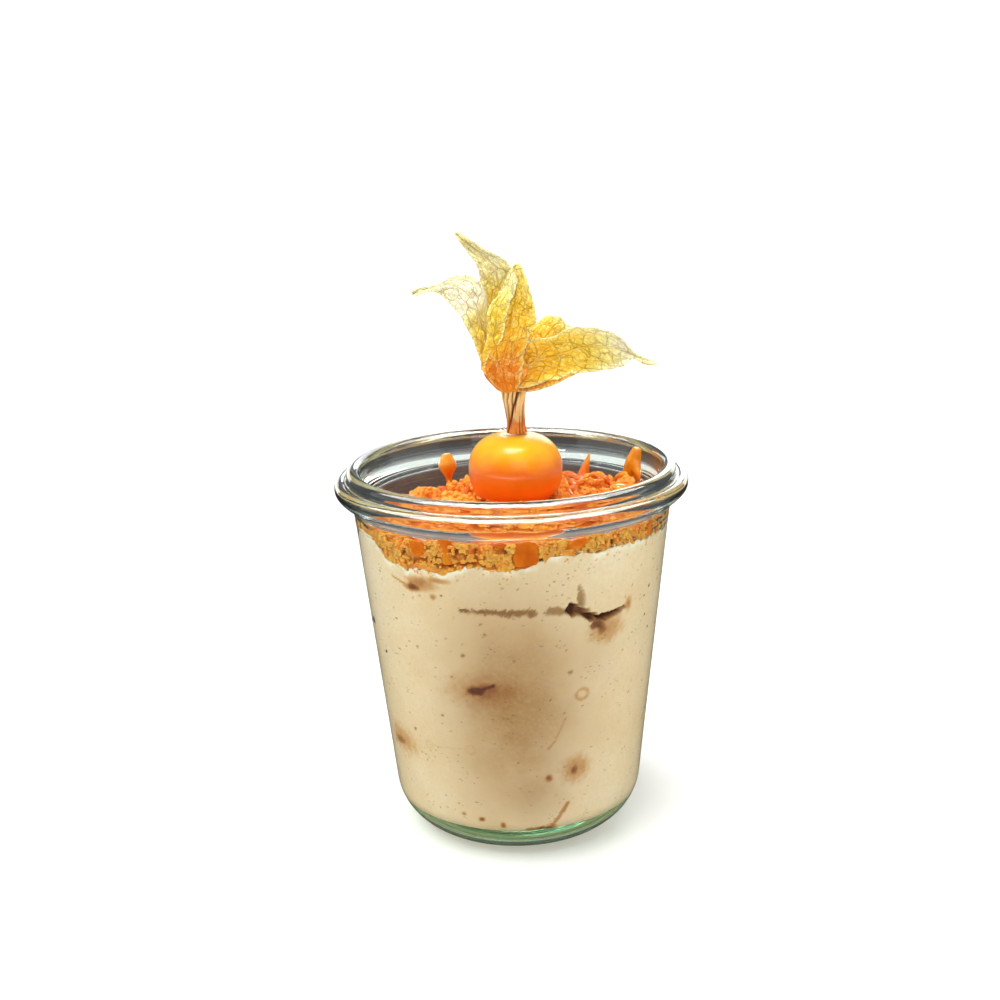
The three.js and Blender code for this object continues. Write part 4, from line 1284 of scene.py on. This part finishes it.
# ---------------------------------------------------------------- husk
def build_neck():
    """The gathered, ribbed and slightly twisted stem between berry and husk."""
    rows, segments = 56, 216
    t = np.linspace(0, 1, rows)[:, None]
    a = around(segments)[None, :]
    at = np.column_stack([(np.cos(a) + 0 * t).ravel(), (np.sin(a) + 0 * t).ravel(),
                          (3.0 * t + 0 * a).ravel()])
    wander = fractal(at, 0.8, 3, 70).reshape(rows, segments)
    rib = np.abs(np.cos(6.5 * a + 1.5 * wander + 0.9 * np.sin(a + 1.0)))
    fold_at = np.radians(-118 + 74 * t)
    fold = np.exp(-((np.mod(a - fold_at + np.pi, TAU) - np.pi) / 0.34) ** 2)
    gap = np.exp(-((np.mod(a - fold_at + 0.62 + np.pi, TAU) - np.pi) / 0.13) ** 2)
    fibre = fractal(at * [6, 6, 1], 1.3, 3, 74).reshape(rows, segments)
    swell = 0.98 - 0.1 * smoothstep(t, 0.0, 0.2) + 0.34 * smoothstep(t, 0.3, 1.0)
    relief = 0.8 + 0.12 * rib ** 0.7 + 0.13 * fold - 0.16 * gap + 0.04 * fibre
    reach = NECK["radius"] * swell * relief
    turned = a + 0.5 * t
    x = 1.4 - 0.6 * t + reach * np.cos(turned)
    y = reach * np.sin(turned)
    z = NECK["foot"] + (NECK["top"] - NECK["foot"]) * t + 0 * a
    points, faces = closed_rings(np.stack([x, y, z], -1))
    neck = add_object("husk_neck", points, faces, neck_material())
    # Painted shade in the grooves between ribs and in the slit beside the fold.
    groove_shade = np.clip(1.15 - rib ** 0.6 - 0.9 * fold + gap, 0, 1).ravel()
    set_value(neck, "groove_shade", np.append(groove_shade, [0, 0]))
    return neck


def two_sided(grid, thickness):
    """A closed thin sheet from a grid of points (rows, columns, 3)."""
    rows, columns, _ = grid.shape
    du = np.gradient(grid, axis=1)
    dv = np.gradient(grid, axis=0)
    normal = np.cross(du, dv)
    normal /= np.maximum(np.linalg.norm(normal, axis=2), 1e-9)[..., None]
    front = (grid + normal * thickness / 2).reshape(-1, 3)
    back = (grid - normal * thickness / 2).reshape(-1, 3)
    i = np.arange(rows - 1)[:, None] * columns + np.arange(columns - 1)[None, :]
    i = i.ravel()
    quads = np.stack([i, i + 1, i + columns + 1, i + columns], -1)
    n = rows * columns
    rim = list(range(columns - 1)) + [r * columns + columns - 1 for r in range(rows - 1)]
    rim += [n - 1 - c for c in range(columns - 1)]
    rim += [(rows - 1 - r) * columns for r in range(rows - 1)]
    edge = [[a, a + n, b + n, b] for a, b in zip(rim, rim[1:] + rim[:1])]
    faces = quads.tolist() + (quads[:, ::-1] + n).tolist() + edge
    return np.vstack([front, back]), faces


# The husk's lobes: points down their left and right edges, how far they bulge, and their tone.
LOBES = {
    "front": dict(
        left=[(-0.9, -1.8, 89.4), (-3, -3.6, 91.6), (-4.9, -4, 94.6), (-3.9, -4.8, 99),
              (-3.3, -5, 104.6), (-1, -4.8, 109), (0.3, -4.5, 111.8), (1.2, -4.3, 113.6)],
        right=[(1.0, -2.1, 89.4), (2.0, -3.8, 91.2), (2.8, -5.2, 95), (3.7, -5.7, 99.8),
               (5.6, -5.3, 103.4), (5.0, -5, 106.8), (4.2, -4.7, 110.4), (2.8, -4.2, 114.3)],
        bulge=1.0, waves=1.2, seed=3, tone=0.0),
    "flap": dict(
        left=[(-5.1, -3.6, 93.8), (-4.6, -4.4, 97.2), (-3.5, -5, 101), (-3.4, -5.2, 105.4),
              (-0.9, -5, 109.2), (0.9, -4.5, 113.2)],
        right=[(-4.4, -4.7, 94.6), (-3.4, -5.8, 97.4), (-0.8, -6.7, 100.2), (0.1, -7, 105),
               (1.2, -6.6, 108.2), (2.5, -5.3, 111.2)],
        bulge=0.5, waves=1.1, seed=5, tone=0.18, columns=24),
    "tall": dict(
        left=[(-1.4, 1.2, 89.6), (-3.6, 2, 94), (-4.2, 3, 101), (-4.6, 3.6, 108), (-5.6, 4, 113),
              (-8, 4, 116.6), (-9.9, 3.6, 119.4)],
        right=[(0.6, 1.6, 89.6), (1, 3.6, 94), (1.6, 4.4, 101), (1.8, 4.8, 108), (0.6, 4.6, 113.2),
               (-4, 4.4, 116.2), (-8.9, 3.8, 119.6)],
        bulge=-0.9, waves=1.3, seed=8, tone=0.2),
    "left": dict(
        left=[(-1.6, -1.0, 89.8), (-4.6, -2, 94.4), (-6.5, -1.6, 99), (-9.2, -1, 104),
              (-12, -0.4, 107.6), (-14.4, 0, 108.7), (-17.6, 0.2, 107.9)],
        right=[(-0.9, 1.0, 89.8), (-2.4, 2, 95), (-3.4, 2.6, 103), (-4.8, 2.4, 109.6),
               (-8.9, 1.4, 111.5), (-13.8, 0.6, 110), (-18.5, 0, 109)],
        bulge=0.9, waves=1.6, seed=12, tone=0.45),
    "right": dict(
        left=[(1.4, -3, 95.5), (3.8, -4.6, 99.4), (8, -4.2, 99.9), (13.8, -3.2, 101.7),
              (20.6, -2.4, 99.9), (24.8, -2, 96), (28.9, -1.8, 94.3)],
        right=[(0.8, -2.6, 90.2), (3.8, -4.4, 90.6), (8.8, -4.7, 91.9), (13, -3.6, 92.6),
               (18.2, -2.9, 93.1), (21.3, -2.6, 93.7), (24, -2.2, 95), (26, -2, 94),
               (28.4, -1.8, 93.5)],
        bulge=-1.5, waves=2.2, seed=17, tone=0.2),
    "under": dict(
        left=[(0.8, -2.0, 89.9), (3.6, -3.4, 90.8), (7.4, -4.0, 92.0), (11, -3.6, 93.0),
              (13.6, -3, 93.3)],
        right=[(1.0, -1.8, 89.3), (3.8, -3.3, 89.4), (7.4, -3.9, 90.2), (10.8, -3.5, 91.6),
               (13.4, -2.9, 92.7)],
        bulge=-0.5, waves=1.2, seed=26, tone=0.0, columns=24),
    "back_right": dict(
        left=[(0.6, 1.6, 90), (1.5, 3.2, 95), (4, 5, 99.8), (7.4, 9, 101.9), (10.2, 13, 101),
              (12, 16.5, 98.5)],
        right=[(1.8, 0.8, 89.8), (4.4, 1.6, 92.4), (8, 4, 95.6), (11.4, 8, 98.6),
               (13.2, 12.4, 98.9), (12.7, 16.4, 97.7)],
        bulge=0.9, waves=1.4, seed=21, tone=0.15),
}


def rib_pattern(u, v, seed):
    """The main veins of a lobe: a midrib, two side ribs and slanting branches."""
    mid = np.exp(-((u - 0.5 + 0.03 * np.sin(7 * v + seed)) / 0.018) ** 2)
    sides = np.exp(-((np.abs(u - 0.5) - 0.3 - 0.04 * np.sin(5 * v + seed)) / 0.014) ** 2)
    slant = (9 * v - 5.5 * np.abs(u - 0.5) + 0.25 * np.sin(11 * u + seed)) % 1.0
    branch = np.exp(-((slant - 0.5) / 0.05) ** 2)
    return np.clip(np.maximum(mid, np.maximum(0.7 * sides, 0.55 * branch)), 0, 1)


def build_lobe(name, material, left, right, bulge, waves, seed, tone, rows=120, columns=46):
    """One crumpled, veined lobe of the husk, between its two edges."""
    t = np.linspace(0, 1, rows)
    a, b = spline(left, t), spline(right, t)
    v = np.repeat(t[:, None], columns, 1)
    u = np.repeat(np.linspace(0, 1, columns)[None, :], rows, 0)
    along = np.gradient(a, axis=0)
    out = np.cross(b - a, along)
    out /= np.maximum(np.linalg.norm(out, axis=1), 1e-9)[:, None]
    width = np.linalg.norm(b - a, axis=1)[:, None]
    length = np.concatenate([[0], np.cumsum(np.linalg.norm(np.diff(a, axis=0), axis=1))])[:, None]
    flat = np.stack([(u - 0.5) * width, length + 0 * u, np.full_like(u, seed * 3.7)], -1)
    margin = 0.035 * fractal(flat.reshape(-1, 3) * [0, 1, 1], 0.7, 4, seed).reshape(u.shape)
    across = u + margin * (2 * u - 1) * np.minimum(1, 6 / width)
    blunt = np.sqrt(np.clip(1 - (np.clip(v - 0.965, 0, 1) / 0.036) ** 2, 0.004, 1))
    across = 0.5 + (across - 0.5) * blunt
    sheet = a[:, None] + (b - a)[:, None] * across[..., None]
    crown = 4 * u * (1 - u) * np.sin(np.pi * np.minimum(1, 0.15 + v))
    wave = 0.32 * np.sin(waves * TAU * v + seed + 4 * u) * np.sin(np.pi * u)
    free = smoothstep(v, 0.0, 0.25)
    place = flat.reshape(-1, 3)
    crumple = fractal(place * [1.0, 0.55, 1], 0.3, 2, seed + 2).reshape(u.shape)
    crease = 0.5 - np.abs(fractal(place * [1.0, 0.7, 1], 0.34, 3, seed + 6)).reshape(u.shape)
    wrinkle = 0.4 - np.abs(fractal(place * [1.2, 0.6, 1], 0.95, 2, seed + 4)).reshape(u.shape)
    rib = rib_pattern(u, v, seed) * smoothstep(width, 1.2, 4.0)
    rough = 0.55 * crumple + 0.62 * crease + 0.34 * wrinkle
    lift = bulge * crown + wave + free * rough * np.minimum(1, width / 4) + 0.12 * rib
    sheet = sheet + out[:, None] * lift[..., None]
    points, faces = two_sided(sheet, SHEET)
    lobe = add_object(f"husk_lobe_{name}", points, faces, material)
    far = np.linalg.norm(sheet - [CUP["x"], 0, 92], axis=-1)
    shade = tone + 0.75 * smoothstep(far, 3, 24) + 0.12 * smoothstep(np.abs(u - 0.5), 0.3, 0.5)
    set_value(lobe, "tone", np.tile(np.clip(shade, 0, 1).ravel(), 2))
    set_value(lobe, "rib", np.tile((0.8 * rib).ravel(), 2))
    rim = np.minimum(np.minimum(u, 1 - u) * width, (1 - v) * length[-1])
    set_value(lobe, "margin", np.tile((0.7 * np.exp(-(rim / 0.35) ** 2)).ravel(), 2))
    set_flat_map(lobe, np.tile(flat[..., :2].reshape(-1, 2) / 40 + seed * 0.13, (2, 1)))
    return lobe


def build_cup(material):
    """The bulb that the lobes share above the neck, open at its top."""
    r, z, x = CUP["radius"], CUP["z"], CUP["x"]
    outside = rounded([(0.3, 0), (2.3, 0.1), (r - 2.1, 1.4), (r - 0.6, 3.2), (r, 5.4),
                       (r - 0.3, 7.4)])
    inside = rounded([(r - 0.6, 7.4), (r - 0.35, 5.4), (r - 1.0, 3.5), (r - 2.7, 2.0), (0.3, 1.2)])
    profile = np.vstack([outside, inside]) + [0, z]
    segments = 180
    rings = revolved(profile, segments)
    a = around(segments)[None, :]
    share = smoothstep(rings[..., 2], z, z + 3)
    pleat = 1 + share * (0.04 * np.abs(np.cos(2.5 * a + 0.4)) - 0.02 + 0.012 * np.cos(11 * a))
    rings[..., 0] = rings[..., 0] * pleat + x
    rings[..., 1] *= pleat
    scallop = 1.1 * np.cos(5 * a + 0.8) + 0.45 * np.cos(11 * a + 0.3)
    rings[..., 2] += smoothstep(rings[..., 2], z + 4.2, z + 7.4) * scallop
    points, faces = closed_rings(rings)
    cup = add_object("husk_cup", points, faces, material)
    bearings, heights = polar(points - [x, 0, 0])
    set_value(cup, "tone", 0.02 + 0.18 * smoothstep(heights, z + 3, z + 8))
    set_value(cup, "margin", 0 * heights)
    beside_rib = np.abs(np.sin(np.radians(bearings) * 2.5 + 0.4))
    set_value(cup, "rib", np.exp(-(beside_rib / 0.06) ** 2) * 0.7)
    set_flat_map(cup, np.column_stack([bearings / 360, (heights - z) / 40]))
    return cup


def build_husk():
    material = husk_material()
    pieces = [build_neck(), build_cup(material)]
    pieces += [build_lobe(name, material, **shape) for name, shape in LOBES.items()]
    for piece in pieces:
        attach(piece, "root")
        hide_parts("husk")


# ---------------------------------------------------------------- all of it
place_camera()
light_the_set()
build_set()
build_jar()
build_cream()
build_soaked_biscuits()
build_berry()
build_topping()
build_husk()
